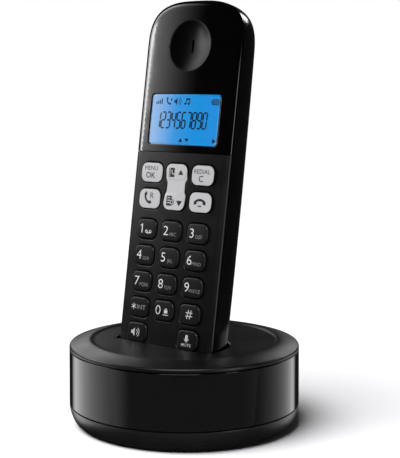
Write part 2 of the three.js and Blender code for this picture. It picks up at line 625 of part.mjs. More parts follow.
function baseScrew(x, y) {
  const cross = box([x - 1.6, x + 1.6], [y - 0.35, y + 0.35], [0, 2.2]);
  return cut(join(post(x, y, 2.9, 1.4, 3.1), post(x, y, 1.3, 3, 14)), cross);
}

const foot = (x, y) => post(x, y, 4.5, 0, FEET_HEIGHT + 0.7, 16);

// ---------------------------------------------------------------- materials
const plastic = (color, roughness) => new THREE.MeshStandardMaterial({ color, roughness, metalness: 0 });
const metal = (color, roughness) => new THREE.MeshStandardMaterial({ color, roughness, metalness: 1 });
const MATERIALS = {
  satinBlack: plastic(0x1a1a1b, 0.5),
  glossBlack: plastic(0x070708, 0.08),
  keyBlack: plastic(0x151516, 0.45),
  keySilver: plastic(0xc9cacb, 0.35),
  lens: new THREE.MeshStandardMaterial({ color: 0xa9c9e8, roughness: 0.05, transparent: true, opacity: 0.35 }),
  display: plastic(0x2f86e6, 0.4),
  diffuser: plastic(0xe9eef2, 0.6),
  silicone: plastic(0x55585c, 0.7),
  board: plastic(0x1d5a34, 0.5),
  whitePlastic: plastic(0xd8d4c6, 0.5),
  darkPlastic: plastic(0x2a2a2c, 0.6),
  rubber: plastic(0x303032, 0.9),
  nickel: metal(0xc9c5bb, 0.3),
  steel: metal(0x8d9093, 0.4),
  cell: plastic(0x2e8a57, 0.35),
};

// ---------------------------------------------------------------- assembly
function node(name, body, material, parent) {
  const mesh = new THREE.Mesh(geometryOf(body), MATERIALS[material]);
  mesh.name = name;
  parent.add(mesh);
}

const phone = new THREE.Group();
const handset = new THREE.Group();
handset.position.set(0, HANDSET_Y, HANDSET_Z);
handset.rotation.x = -LEAN;
phone.add(handset);

node("base_top_cover", topCover(), "satinBlack", phone);
node("base_side_band", sideBand(), "glossBlack", phone);
node("base_bottom_shell", bottomShell(), "satinBlack", phone);
node("base_circuit_board", baseBoard(), "board", phone);
node("base_radio_shield", radioShield(), "nickel", phone);
node("base_antenna", baseAntenna(), "nickel", phone);
node("line_jack", lineJack(), "darkPlastic", phone);
node("power_jack", powerJack(), "darkPlastic", phone);
node("paging_button", pagingButton(), "satinBlack", phone);
node("paging_switch", pagingSwitch(), "darkPlastic", phone);
BASE_SCREWS.forEach(([x, y], i) => node(`base_screw_${i + 1}`, baseScrew(x, y), "steel", phone));
FEET.forEach(([x, y], i) => node(`base_foot_${i + 1}`, foot(x, y), "rubber", phone));
node("charge_contact_left", chargeContact(-CHARGE.x), "nickel", handset);
node("charge_contact_right", chargeContact(CHARGE.x), "nickel", handset);

node("front_shell", frontShell(), "satinBlack", handset);
node("upper_fascia", upperFascia(), "glossBlack", handset);
node("display_lens", displayLens(), "lens", handset);
node("display_panel", prism(roundedRectangle(38, 22.6, 0.8), 3.2, 4.8, 0, WINDOW.z), "display", handset);
node("backlight", prism(roundedRectangle(38, 22.6, 0.8), 5.1, 7.3, 0, WINDOW.z), "diffuser", handset);
node("rear_shell", rearShell(), "satinBlack", handset);
node("battery_door", batteryDoor(), "satinBlack", handset);
node("battery_cell_left", batteryCell(-CELL.x, false), "cell", handset);
node("battery_cell_right", batteryCell(CELL.x, true), "cell", handset);
node("battery_spring_left", batterySpring(-CELL.x), "nickel", handset);
node("battery_spring_right", batterySpring(CELL.x), "nickel", handset);
node("battery_link", batteryLink(), "nickel", handset);
node("handset_circuit_board", handsetBoard(), "board", handset);
node("keypad_mat", keypadMat(), "silicone", handset);
node("earpiece_speaker", loudspeaker(EARPIECE.z, EARPIECE.depth + 1.5, 9.6, 4.4), "nickel", handset);
node("ringer_speaker", loudspeaker(114, 15, 8, 4.5), "nickel", handset);
node("microphone", peg(0, 12, 2.6, 3.6, 6.6), "nickel", handset);
node("handset_antenna", box([-13, 13], [10, 10.5], [146, 150]), "nickel", handset);
node("handset_charge_pad_left", chargePad(-CHARGE.x), "nickel", handset);
node("handset_charge_pad_right", chargePad(CHARGE.x), "nickel", handset);
node("handset_screw_left", handsetScrew(-HANDSET_SCREW.x), "steel", handset);
node("handset_screw_right", handsetScrew(HANDSET_SCREW.x), "steel", handset);

for (const { name, x, z, size, material } of KEYS) {
  node(name, keySolid((grow) => keyOutline(size, grow), x, z), material, handset);
}
node("key_rocker", keySolid(rockerOutline, 0, ROCKER.z, ROCKER.tilt), "keySilver", handset);

export default phone;
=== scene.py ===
"""Looks for a cordless phone: fine surfaces, printed legends and a lit display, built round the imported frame.

Lengths are in millimetres until a mesh is made. Handset pieces are built upright in the handset's own frame:
x across, y back from the crest of the front face and z up from the bottom end.
"""

import json
import math
from collections import namedtuple

import bmesh
import bpy
import numpy as np
from mathutils import Matrix, Vector
from mathutils.geometry import delaunay_2d_cdt

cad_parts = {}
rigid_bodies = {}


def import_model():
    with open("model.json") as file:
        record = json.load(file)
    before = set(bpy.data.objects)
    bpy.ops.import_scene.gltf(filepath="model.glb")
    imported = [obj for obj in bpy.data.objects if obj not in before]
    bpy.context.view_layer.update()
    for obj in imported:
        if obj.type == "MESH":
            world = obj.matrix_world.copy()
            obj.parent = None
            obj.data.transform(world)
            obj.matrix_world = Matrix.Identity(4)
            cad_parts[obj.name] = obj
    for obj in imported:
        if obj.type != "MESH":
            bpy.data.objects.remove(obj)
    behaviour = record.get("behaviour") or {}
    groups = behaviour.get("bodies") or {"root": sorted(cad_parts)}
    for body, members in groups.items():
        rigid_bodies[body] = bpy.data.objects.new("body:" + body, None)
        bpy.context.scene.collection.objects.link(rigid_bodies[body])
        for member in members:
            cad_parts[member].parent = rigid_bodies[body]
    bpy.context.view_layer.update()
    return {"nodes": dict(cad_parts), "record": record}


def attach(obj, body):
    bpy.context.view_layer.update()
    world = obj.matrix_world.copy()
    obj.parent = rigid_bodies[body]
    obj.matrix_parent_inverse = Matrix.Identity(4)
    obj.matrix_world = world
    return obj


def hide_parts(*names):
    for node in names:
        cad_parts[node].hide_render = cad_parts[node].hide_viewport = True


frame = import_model()

# ------------------------------------------------------------------ dimensions
MM = 0.001
GAP = 0.3
RIM = 0.12  # width of the narrow flat round an opening's softened edge
FRONT_WALL, KEY_WALL = 1.3, 2.4  # how far the front's edges and the keys' openings reach back
LEAN = math.radians(9)
BASE = Matrix.Identity(4)
BASE_BODIES = ("base", "paging_button")
HANDSET = Matrix.Translation((0, -18.5, 13.7)) @ Matrix.Rotation(-LEAN, 4, "X")

SEAM_Z, SEAM_RADIUS = 8.6, 47.2
PLATE_Z, PLATE_RADIUS = 0.8, 43.6
TRAY_FLOOR_Z, TRAY_FLOOR_RADIUS = PLATE_Z + 2, 41
BAND_TOP_Z, BAND_TOP_RADIUS, BAND_INNER_RADIUS = 31.5, 47.0, 45.4
LIP_OUTER, LIP_INNER = 45.1, 43.7  # radii of the lips that stand inside the band
CREST_Z, CREST_RADIUS = 34.9, 38.8
SLOPE_END_RADIUS, SLOPE_END_Z, COVER_EDGE_Z = 46.1, CREST_Z - 1.62, 32.2
COVER_UNDER_Z, COVER_UNDER_RADIUS = 32.1, 42
DISH_RADIUS = CREST_RADIUS - 2.2
DISH_FRONT, DISH_BACK = 0.12, 0.8  # depth of the dish below the crest
WELL_CLEARANCE, WELL_FRONT_Y, WELL_REACH, WELL_CORNER = 1.2, -1.3, 22.2, 4  # in the handset's frame
WELL_FLOOR, WELL_FLOOR_SOFT, WELL_WALL = -0.3, 0.8, 1.6
SLOPE_POWER = 1.4  # how the top cover's outer slope steepens
ROUND_COUNT = 240  # points round the base

PANEL_HALF_WIDTH, PANEL_Y, PANEL_TOP_Z = 20, 41.9, 22.5
LINE_JACK_X, LINE_JACK_HALF, LINE_JACK_LOW, LINE_JACK_HIGH = -11, 6, 9.6, 16.2
POWER_JACK = (5, 12.4)
PAGING_BUTTON = (14.8, 12)
BASE_SCREWS, BASE_SCREW_TOP_Z = [(0, -31), (33, 14), (-33, 14)], 1.4
FEET = [(24.7, -24.7), (-24.7, -24.7), (24.7, 24.7), (-24.7, 24.7)]

HALF_WIDTH, LENGTH = 24, 160
TOP_END, BOTTOM_END, END_POWER, END_COUNT = 19.2, 12, 3, 28
CROWN_RADIUS = 204
BEVEL, PARTING = 2.7, 3.2
DEPTH, BACK_POWER, BACK_END_TAPER = 25.4, 2.5, 12
FULLEST_Z = 55  # where the rear shell is deepest
FASCIA_Z = 98.5
WINDOW_Z, WINDOW_WIDTH, WINDOW_HEIGHT, WINDOW_CORNER = 111.8, 35.2, 20.4, 1.4
LENS_SET, LENS_BACK_Y = 0.1, 1.5
DISPLAY_Y, DISPLAY_BACK_Y, MARKS_Y = 3.2, 4.8, 3.14
EARPIECE_Z, EARPIECE_RADIUS, EARPIECE_DEPTH, EARPIECE_SOFT = 141.5, 10.15, 2.2, 0.4
HANDSET_SCREW_X, HANDSET_SCREW_Z, HANDSET_SCREW_TOP_Y, SCREW_SEAT_Y = 17.3, 133.5, 12.7, 11.1
SOUND_SLOTS = (108, 111, 114, 117, 120)
DOOR_HALF_WIDTH, DOOR_BOTTOM, DOOR_TOP, DOOR_CORNER, DOOR_LOWER_CORNER = 16, 34, 96, 5, 0.8
DOOR_THICKNESS, LEDGE_DEPTH, BAY_FLOOR_Y = 1.1, 1.75, 10.5
GRIP_Z, GRIP_PITCH, GRIP_COUNT = 84.6, 3, 4  # the door's thumb bars, from the highest down
GRIP_HALF_WIDTH, GRIP_PROUD = 7.2, 0.4

COLUMN = 13
MENU_Z, TALK_Z = 89.9, 79.2  # the two silver rows
KEY_SIZE = (10.2, 8, 2.6)
SILVER_SIZE = (11, 8, 2.8)
KEY_PROUD, KEY_FOOT_Y, PRINT_PROUD = 0.7, 3.4, 0.035
KEYPAD = [
    (MENU_Z, ("menu_ok", None, "redial_clear")), (TALK_Z, ("talk", None, "end_call")), (66.8, "123"),
    (56.1, "456"), (45.4, "789"), (34.8, ("star", "0", "hash")), (24.5, ("speaker", None, "mute")),
]
ROCKER_Z = (MENU_Z + TALK_Z) / 2
ROCKER_WIDTH, ROCKER_WAIST, ROCKER_HEIGHT, ROCKER_CORNER = 10.8, 9.2, 18.7, 2.8

CAMERA_TURN, CAMERA_PITCH = math.radians(38.44), math.radians(-7.74)
CAMERA_PLACE = (0.2992, -0.3753, 0.1417)
CAMERA_LENS, CAMERA_SHIFT = 93.7, (0.029, 0.0177)


# ------------------------------------------------------------------ mesh building
class Surface:
    """A mesh being built: points in millimetres and the faces between them.

    Faces from second_from on have a finish of their own, second_finish.
    """

    def __init__(self, second_finish=None):
        self.points = []
        self.faces = []
        self.second_from = None
        self.second_finish = second_finish

    def add(self, points):
        start = len(self.points)
        self.points += [Vector(p) for p in points]
        return list(range(start, len(self.points)))

    def bridge(self, a, b, closed=True):
        count = len(a)
        for i in range(count if closed else count - 1):
            j = (i + 1) % count
            self.faces.append([a[i], a[j], b[j], b[i]])

    def extend(self, ring, points, closed=True):
        """Joins a ring to a new ring of points, and gives back the new ring's indices."""
        made = self.add(points)
        self.bridge(ring, made, closed)
        return made

    def push(self, ring, back, closed=True):
        """Joins a ring to a copy of itself that stands further back."""
        return self.extend(ring, [self.points[i] + Vector((0, back, 0)) for i in ring], closed)

    def roll(self, ring, steps, level, first=1):
        """Carries a ring round a soft edge.

        level gives the points of each ring from the shares still to go across and already gone down.
        """
        for sine, cosine in quarter(steps)[first:]:
            ring = self.extend(ring, level(1 - sine, 1 - cosine))
        return ring

    def loft(self, rings, closed=True):
        """Adds rings of points, each joined to the one before, and gives back their indices."""
        made = [self.add(ring) for ring in rings]
        for a, b in zip(made, made[1:]):
            self.bridge(a, b, closed)
        return made

    def cap(self, ring):
        self.faces.append(list(ring))

    def solid(self, rings):
        """Adds joined rings of points with both ends closed."""
        made = self.loft(rings)
        self.cap(made[0])
        self.cap(made[-1])


def new_object(name, data):
    made = bpy.data.objects.new(name, data)
    bpy.context.scene.collection.objects.link(made)
    return made


def make_piece(name, surface, body, finish, *replaces, place=None, sharp=40):
    """Turns a surface into an object that rides on a body and stands for the CAD nodes it replaces."""
    if place is None:
        place = BASE if body in BASE_BODIES else HANDSET
    mesh = bpy.data.meshes.new(name)
    mesh.from_pydata([(place @ p) * MM for p in surface.points], [], surface.faces)
    if surface.second_finish:
        for polygon in mesh.polygons[surface.second_from:]:
            polygon.material_index = 1
    shape = bmesh.new()
    shape.from_mesh(mesh)
    bmesh.ops.remove_doubles(shape, verts=shape.verts, dist=1e-7)
    bmesh.ops.recalc_face_normals(shape, faces=shape.faces)
    shape.to_mesh(mesh)
    shape.free()
    mesh.validate()
    mesh.shade_smooth()
    mesh.set_sharp_from_angle(angle=math.radians(sharp))
    mesh.materials.append(MATERIALS[finish])
    if surface.second_finish:
        mesh.materials.append(MATERIALS[surface.second_finish])
    piece = new_object(name, mesh)
    piece.modifiers.new("even_shading", "WEIGHTED_NORMAL").keep_sharp = True
    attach(piece, body)
    if replaces:
        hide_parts(*replaces)
    return piece


def soften(piece, width):
    """Rounds a piece's sharp edges."""
    bevel = piece.modifiers.new("soft_edges", "BEVEL")
    bevel.width = width * MM
    bevel.segments = 2
    bevel.limit_method = "ANGLE"
    bevel.angle_limit = math.radians(50)
    bevel.harden_normals = True


def smooth(share):
    """Eases a share between 0 and 1."""
    share = min(1, max(0, share))
    return share * share * (3 - 2 * share)


def quarter(steps):
    """Sines and cosines of a quarter turn in even steps."""
    return [(math.sin(math.pi / 2 * i / steps), math.cos(math.pi / 2 * i / steps)) for i in range(steps + 1)]


def rounded_rectangle(width, height, corner, steps=6, centre=(0, 0)):
    points = []
    for sx, sz, start in ((1, -1, -90), (1, 1, 0), (-1, 1, 90), (-1, -1, 180)):
        for i in range(steps + 1):
            angle = math.radians(start + 90 * i / steps)
            points.append((
                centre[0] + sx * (width / 2 - corner) + corner * math.cos(angle),
                centre[1] + sz * (height / 2 - corner) + corner * math.sin(angle),
            ))
    return points


def circle(radius, count=ROUND_COUNT, centre=(0, 0)):
    turns = [2 * math.pi * i / count for i in range(count)]
    return [(centre[0] + radius * math.cos(t), centre[1] + radius * math.sin(t)) for t in turns]


def turned(profile, count=ROUND_COUNT, centre=(0, 0)):
    """Rings of a (radius, z) profile turned about an upright line."""
    return [[(*p, z) for p in circle(radius, count, centre)] for radius, z in profile]


def turned_along_y(profile, centre, count=40):
    """Rings of a (radius, y) profile turned about a line along y."""
    return [[(x, y, z) for x, z in circle(radius, count, centre)] for radius, y in profile]


def divided(polygon, spacing, like=None):
    """Adds points along a polygon's long edges, as many as a like polygon's edges need."""
    points = []
    model = like or polygon
    for k, (x0, z0) in enumerate(polygon):
        x1, z1 = polygon[(k + 1) % len(polygon)]
        (u0, v0), (u1, v1) = model[k], model[(k + 1) % len(model)]
        steps = max(1, round(math.hypot(u1 - u0, v1 - v0) / spacing))
        points += [(x0 + (x1 - x0) * i / steps, z0 + (z1 - z0) * i / steps) for i in range(steps)]
    return points


def inside(polygon, points):
    """Which of the points lie inside a closed polygon."""
    x, z = points[:, 0], points[:, 1]
    found = np.zeros(len(points), bool)
    corners = np.array(polygon)
    for (x0, z0), (x1, z1) in zip(corners, np.roll(corners, -1, axis=0)):
        if z0 == z1:
            continue
        crosses = (z0 > z) != (z1 > z)
        found ^= crosses & (x < (x1 - x0) * (z - z0) / (z1 - z0) + x0)
    return found


def fill(surface, outer, holes, lift, spacing):
    """Fills a flat outline round its holes with an even grid of triangles, lifted to a curved face.

    Gives back the indices of the outline's points and of each hole's points.
    """

    def kept(points):
        keep = inside(outer, points)
        for hole in holes:
            keep &= ~inside(hole, points)
        return keep

    loops = [outer, *holes]
    rim = np.array([p for loop in loops for p in loop])
    low, high = rim.min(0), rim.max(0)
    xs = np.arange(low[0] + spacing / 2, high[0], spacing)
    zs = np.arange(low[1] + spacing / 2, high[1], spacing)
    grid = np.array([(x + (spacing / 2 if k % 2 else 0), z) for k, z in enumerate(zs) for x in xs])
    grid = grid[kept(grid)]
    if len(grid):
        near = np.array([np.min(np.sum((rim - p) ** 2, axis=1)) for p in grid])
        grid = grid[near > (0.55 * spacing) ** 2]
    places = []
    for loop in loops:
        start = places[-1].stop if places else 0
        places.append(range(start, start + len(loop)))
    edges = [(i, i + 1 if i + 1 < place.stop else place.start) for place in places for i in place]
    flat = [Vector(p) for p in rim] + [Vector(p) for p in grid]
    verts, _, triangles, origins, _, _ = delaunay_2d_cdt(flat, edges, [], 0, 1e-5)
    middles = np.array([sum((verts[i] for i in t), Vector((0, 0))) / 3 for t in triangles])
    indices = surface.add([lift(v.x, v.y) for v in verts])
    surface.faces += [[indices[i] for i in t] for t, keep in zip(triangles, kept(middles)) if keep]
    made_from = {source: indices[k] for k, sources in enumerate(origins) for source in sources}
    rings = [[made_from[i] for i in place] for place in places]
    return rings[0], rings[1:]


# ------------------------------------------------------------------ the handset's form
def crown(x):
    return x * x / (2 * CROWN_RADIUS)


def on_face(x, z):
    return (x, crown(x), z)


def depth_at(z):
    if z > FULLEST_Z:
        return DEPTH - 3 * ((z - FULLEST_Z) / (LENGTH - FULLEST_Z)) ** 2
    return DEPTH - 2 * ((FULLEST_Z - z) / FULLEST_Z) ** 2


def end_arc(height):
    """A quarter of a superellipse from the side (HALF_WIDTH, 0) to the tip (0, height)."""
    points = []
    for s, c in quarter(END_COUNT):
        size = (c**END_POWER + s**END_POWER) ** (-1 / END_POWER)
        points.append((HALF_WIDTH * c * size, height * s * size))
    return points


TOP_ARC = [(x, LENGTH - TOP_END + z) for x, z in end_arc(TOP_END)]
BOTTOM_ARC = [(x, BOTTOM_END - z) for x, z in end_arc(BOTTOM_END)]


def side_heights(low, high, spacing=2.4):
    steps = max(1, round((high - low) / spacing))
    return [low + (high - low) * i / steps for i in range(1, steps)]


def mirrored(half):
    """A half outline, from its right end to its middle point, carried on round the left side."""
    return half + [(-x, z) for x, z in reversed(half[:-1])]


def whole_outline():
    sides = [(HALF_WIDTH, z) for z in side_heights(BOTTOM_END, LENGTH - TOP_END)]
    return mirrored(BOTTOM_ARC[::-1] + sides + TOP_ARC)[:-1]


def upper_outline(low):
    """The outline above a cut: up the right side, over the top and down the left."""
    return mirrored([(HALF_WIDTH, z) for z in [low, *side_heights(low, LENGTH - TOP_END)]] + TOP_ARC)


def lower_outline(high):
    """The outline below a cut: down the right side, round the bottom and up the left."""
    return mirrored([(HALF_WIDTH, z) for z in [high, *side_heights(BOTTOM_END, high)[::-1]]] + BOTTOM_ARC)


def inset(outline, amount):
    """Draws an outline in by an amount: the straight sides stay level and the ends shrink."""
    made = []
    top = LENGTH - TOP_END
    for x, z in outline:
        if z > top:
            z = top + (z - top) * (TOP_END - amount) / TOP_END
        elif z < BOTTOM_END:
            z = BOTTOM_END - (BOTTOM_END - z) * (BOTTOM_END - amount) / BOTTOM_END
        made.append((x * (HALF_WIDTH - amount) / HALF_WIDTH, z))
    return made


def parting_rings(outline, y):
    """Two rings on the parting face, from inside it out to its small corner."""
    return [[(x, y, z) for x, z in inset(outline, amount)] for amount in (1.4, 0.15)]


def bevel_rings(outline):
    """Rings from inside the parting line, round its corner and over the front's rounded edge."""
    rings = parting_rings(outline, PARTING)
    start = PARTING - 0.12
    for sine, cosine in quarter(10)[:-1]:
        flat = inset(outline, BEVEL * (1 - cosine))
        rings.append([(x, start - (start - crown(x)) * sine, z) for x, z in flat])
    return rings


def edge_walls(surface, ring, hole, radius, depth):
    """Rounds the edge of an opening in the front face and takes its wall straight back.

    The opening's ring lies RIM outside the rounding, which keeps the face beside it flat.
    """

    def level(across, down):
        return [(x, crown(x) + radius * down, z) for x, z in hole(radius * across)]

    made = surface.roll(ring, 3, level, first=0)
    surface.extend(made, [(x, crown(x) + depth, z) for x, z in hole(0)])


def along_back(across):
    """How much of the outline's length is left at a share across the back."""
    return 1 - BACK_END_TAPER / (LENGTH / 2) * (1 - across)


def back_rise(across):
    return (1 - across**BACK_POWER) ** (1 / BACK_POWER)


def rear_point(x, z, across):
    """A point of the rear shell: across runs from 1 at the parting line to 0 down the middle of the back."""
    height = LENGTH / 2 + (z - LENGTH / 2) * along_back(across)
    return (x * across, PARTING + (depth_at(z) - PARTING) * back_rise(across), height)


def within_outline(x, z):
    for middle, height in ((LENGTH - TOP_END, TOP_END), (BOTTOM_END, -BOTTOM_END)):
        past = (z - middle) / height
        if past > 0:
            return (abs(x) / HALF_WIDTH) ** END_POWER + past**END_POWER <= 1
    return abs(x) <= HALF_WIDTH


def back_y(x, z):
    """Depth of the rear shell's surface at a place in its back view."""

    def outline_z(across):
        return LENGTH / 2 + (z - LENGTH / 2) / along_back(across)

    low, high = 0.0, 1.0
    for _ in range(24):
        across = (low + high) / 2
        if within_outline(x / across, outline_z(across)):
            high = across
        else:
            low = across
    return PARTING + (depth_at(outline_z(high)) - PARTING) * back_rise(high)


def on_back(x, z):
    return (x, back_y(x, z), z)


# ------------------------------------------------------------------ handset shells
Key = namedtuple("Key", "name x z size silver")


def all_keys():
    """Every single key, row by row."""
    keys = []
    for z, names in KEYPAD:
        silver = z >= TALK_Z
        size = SILVER_SIZE if silver else KEY_SIZE
        columns = zip((-COLUMN, 0, COLUMN), names)
        keys += [Key("key_" + name, x, z, size, silver) for x, name in columns if name]
    return keys


def key_outline(key, grow=0.0):
    width, height, corner = key.size
    return rounded_rectangle(width + 2 * grow, height + 2 * grow, corner + grow, 6, (key.x, key.z))


def rocker_outline(grow=0.0):
    """Two rounded pads joined by a narrower waist."""
    outer = rounded_rectangle(ROCKER_WIDTH + 2 * grow, ROCKER_HEIGHT + 2 * grow, ROCKER_CORNER + grow, 6)
    side = []
    for i in range(9):
        z = -3.2 + 0.8 * i
        x = ROCKER_WAIST / 2 + (ROCKER_WIDTH - ROCKER_WAIST) / 2 * smooth((abs(z) - 1.9) / 1.3)
        side.append((x + grow, z))
    left = [(-x, -z) for x, z in side]
    part = len(outer) // 4
    points = outer[:part] + side + outer[part:3 * part] + left + outer[3 * part:]
    return [(x, ROCKER_Z + z) for x, z in points]


def edge_across(first, last, spacing=1.5):
    """Points strictly between two ends of a level cut."""
    steps = max(2, round(abs(last[0] - first[0]) / spacing))
    return [(first[0] + (last[0] - first[0]) * i / steps, first[1]) for i in range(1, steps)]


def front_sheet(outline, holes, spacing):
    """The crowned face inside an outline, with its rounded outer edge and a wall along the level cut."""
    surface = Surface()
    inner = inset(outline, BEVEL)
    rings = surface.loft(bevel_rings(outline), closed=False)
    rim, found = fill(surface, inner + edge_across(inner[-1], inner[0]), holes, on_face, spacing)
    surface.bridge(rings[-1], rim[:len(inner)], closed=False)
    up, down = [ring[-1] for ring in rings], [ring[0] for ring in reversed(rings)]
    surface.push(up + rim[len(inner) - 1:] + [rim[0]] + down, FRONT_WALL, closed=False)
    return surface, found


def keypad_face():
    soft = 0.35
    openings = [lambda grow, key=key: key_outline(key, GAP + grow) for key in all_keys()]
    openings.append(lambda grow: rocker_outline(GAP + grow))
    openings.append(lambda grow: circle(0.7 + grow, 16, (0, 12)))  # the microphone's hole
    outline = lower_outline(FASCIA_Z - GAP / 2)
    surface, rings = front_sheet(outline, [opening(soft + RIM) for opening in openings], 1.7)
    for ring, opening in zip(rings, openings):
        edge_walls(surface, ring, opening, soft, KEY_WALL)
    make_piece("keypad_face", surface, "handset", "satin_black", "front_shell")


def bowl_depth(radius):
    """Depth of the earpiece dish below the face, with a softened rim."""
    ball = (EARPIECE_RADIUS**2 + EARPIECE_DEPTH**2) / (2 * EARPIECE_DEPTH)
    outer, inner = EARPIECE_RADIUS + EARPIECE_SOFT, EARPIECE_RADIUS - EARPIECE_SOFT
    if radius >= outer:
        return 0.0
    depth = math.sqrt(ball**2 - min(radius, inner) ** 2) - (ball - EARPIECE_DEPTH)
    if radius <= inner:
        return depth
    return depth * ((outer - radius) / (outer - inner)) ** 2


def stadium(width, height, count):
    """A rounded slot's outline, as many points as a circle and turning with it."""
    points = []
    for cx, cz in circle(1, count):
        reach = (height - width) / 2 * min(1, abs(cz) * 3)
        points.append((cx * width / 2, cz * width / 2 + math.copysign(reach, cz)))
    return points


def window_outline(grow):
    """The display window, with points along its straight edges so that they follow the crowned face."""

    def rounded(amount):
        width, height = WINDOW_WIDTH + 2 * amount, WINDOW_HEIGHT + 2 * amount
        return rounded_rectangle(width, height, WINDOW_CORNER + amount, 6, (0, WINDOW_Z))

    return divided(rounded(grow), 2.4, like=rounded(0))


def earpiece_dish(surface, rim, count):
    """The earpiece's round bowl, whose rings turn from a circle into the slot at its bottom."""
    surface.second_from, surface.second_finish = len(surface.faces), "dish_black"
    outer, inner = EARPIECE_RADIUS + EARPIECE_SOFT, EARPIECE_RADIUS - EARPIECE_SOFT
    slot = stadium(1.0, 5.4, count)
    steps, rim_share = 22, 0.25
    made = rim
    for k in range(1, steps + 1):
        share = k / steps
        if share < rim_share:
            radius = outer - (outer - inner) * share / rim_share
        else:
            radius = inner * (1 - (share - rim_share) / (1 - rim_share))
        merge = max(0, 1 - radius / inner) ** 2
        level = []
        for (cx, cz), (sx, sz) in zip(circle(1, count), slot):
            x, z = cx * radius + sx * merge, cz * radius + sz * merge
            y = crown(x) * (radius / EARPIECE_RADIUS) ** 2 + bowl_depth(math.hypot(x, z))
            level.append((x, y, EARPIECE_Z + z))
        made = surface.extend(made, level)
    surface.cap(surface.push(made, 1.6))


def upper_fascia():
    soft, count = 0.3, 96
    dish_rim = circle(EARPIECE_RADIUS + EARPIECE_SOFT, count, (0, EARPIECE_Z))
    outline = upper_outline(FASCIA_Z + GAP / 2)
    surface, rings = front_sheet(outline, [window_outline(soft + RIM), dish_rim], 1.2)
    edge_walls(surface, rings[0], window_outline, soft, FRONT_WALL)
    earpiece_dish(surface, rings[1], count)
    make_piece("upper_fascia_shell", surface, "handset", "gloss_black", "upper_fascia")


def display_lens():
    surface = Surface()
    soft = 0.25

    def outline(shrink):
        return window_outline(-GAP - shrink)

    def level(across, down):
        return [(x, crown(x) + LENS_SET + soft * down, z) for x, z in outline(soft * across)]

    rim, _ = fill(surface, outline(soft + RIM), [], lambda x, z: (x, crown(x) + LENS_SET, z), 3)
    made = surface.roll(rim, 3, level, first=0)
    surface.cap(surface.extend(made, [(x, LENS_BACK_Y, z) for x, z in outline(0)]))
    make_piece("display_lens_clear", surface, "handset", "lens", "display_lens")


def door_outline(grow=0.0):
    """The battery door: rounded upper corners, nearly square lower ones."""
    wide, low, high = DOOR_HALF_WIDTH + grow, DOOR_BOTTOM - grow, DOOR_TOP + grow
    corners = (
        (wide, low, -1, 1, DOOR_LOWER_CORNER, -90), (wide, high, -1, -1, DOOR_CORNER, 0),
        (-wide, high, 1, -1, DOOR_CORNER, 90), (-wide, low, 1, 1, DOOR_LOWER_CORNER, 180),
    )
    points = []
    for x, z, sx, sz, radius, start in corners:
        for i in range(7):
            turn = math.radians(start + 15 * i)
            points.append((x + radius * (sx + math.cos(turn)), z + radius * (sz + math.sin(turn))))
    return points


def door_ring(grow):
    """The door's outline with points along its edges, always as many."""
    return divided(door_outline(grow), 2.5, door_outline())


def rear_shell():
    surface = Surface()
    outline = whole_outline()
    soft, count = 0.25, 16
    fullest = 0.87  # how far across the face of the back reaches
    rises = [0.012 + back_rise(fullest) * i / count for i in range(count)]
    made = surface.loft(parting_rings(outline, PARTING + GAP) + [
        [rear_point(x, z, back_rise(rise)) for x, z in outline] for rise in rises])

    slots = [
        lambda grow, z=z: rounded_rectangle(10 + 2 * grow, 1.2 + 2 * grow, 0.55 + grow, 4, (0, z))
        for z in SOUND_SLOTS
    ]
    bores = [
        lambda grow, x=x: circle(2.3 + grow, 32, (x, HANDSET_SCREW_Z))
        for x in (-HANDSET_SCREW_X, HANDSET_SCREW_X)
    ]
    holes = [lambda grow: door_ring(GAP + grow), *slots, *bores]
    rim_points = [(x, z) for x, _, z in (rear_point(*p, fullest) for p in outline)]
    rim, found = fill(surface, rim_points, [hole(soft) for hole in holes], on_back, 1.6)
    surface.bridge(made[-1], rim)
    for ring, hole, depth in zip(found, holes, [1.6] + [2.0] * len(slots) + [None] * len(bores)):
        ring = surface.roll(ring, 3, lambda across, down: [
            (x, back_y(x, z) - soft * down, z) for x, z in hole(soft * across)])
        if depth:
            surface.extend(ring, [(x, back_y(x, z) - depth, z) for x, z in hole(0)])
        else:
            surface.cap(surface.extend(ring, [(x, SCREW_SEAT_Y, z) for x, z in hole(0)]))
    battery_tray(surface)
    make_piece("rear_shell_moulding", surface, "handset", "rear_black", "rear_shell")


def battery_tray(surface):
    """The ledge that the door rests on, and the bay behind it."""
    ledge = divided(door_outline(1.2), 3)
    bay = divided(rounded_rectangle(23.6, 50.8, 1.2, 4, (0, 65.6)), 3)
    _, holes = fill(surface, ledge, [bay], lambda x, z: (x, back_y(x, z) - LEDGE_DEPTH, z), 2.5)
    surface.cap(surface.extend(holes[0], [(x, BAY_FLOOR_Y, z) for x, z in bay]))


def grip_height(x, z):
    """Raised bars near the top of the door, for the thumb."""
    across = min(1, max(0, (GRIP_HALF_WIDTH - abs(x)) / 0.8))
    nearest = min(abs(z - (GRIP_Z - GRIP_PITCH * k)) for k in range(GRIP_COUNT))
    return GRIP_PROUD * across * min(1, max(0, (1.0 - nearest) / 0.5))


def battery_door():
    surface = Surface()
    soft = 0.3
    grip = divided(rounded_rectangle(16.4, 12.6, 0.5, 2, (0, GRIP_Z - GRIP_PITCH * (GRIP_COUNT - 1) / 2)), 1)
    rim, holes = fill(surface, door_ring(-soft), [grip], on_back, 2)
    grip_rim, _ = fill(surface, grip, [], lambda x, z: (x, back_y(x, z) + grip_height(x, z), z), 0.4)
    surface.bridge(holes[0], grip_rim)
    last = surface.roll(rim, 3, lambda across, down: [
        (x, back_y(x, z) - soft * down, z) for x, z in door_ring(-soft * across)])
    surface.push(last, -DOOR_THICKNESS)
    make_piece("battery_door_moulding", surface, "battery_door", "rear_black", "battery_door")


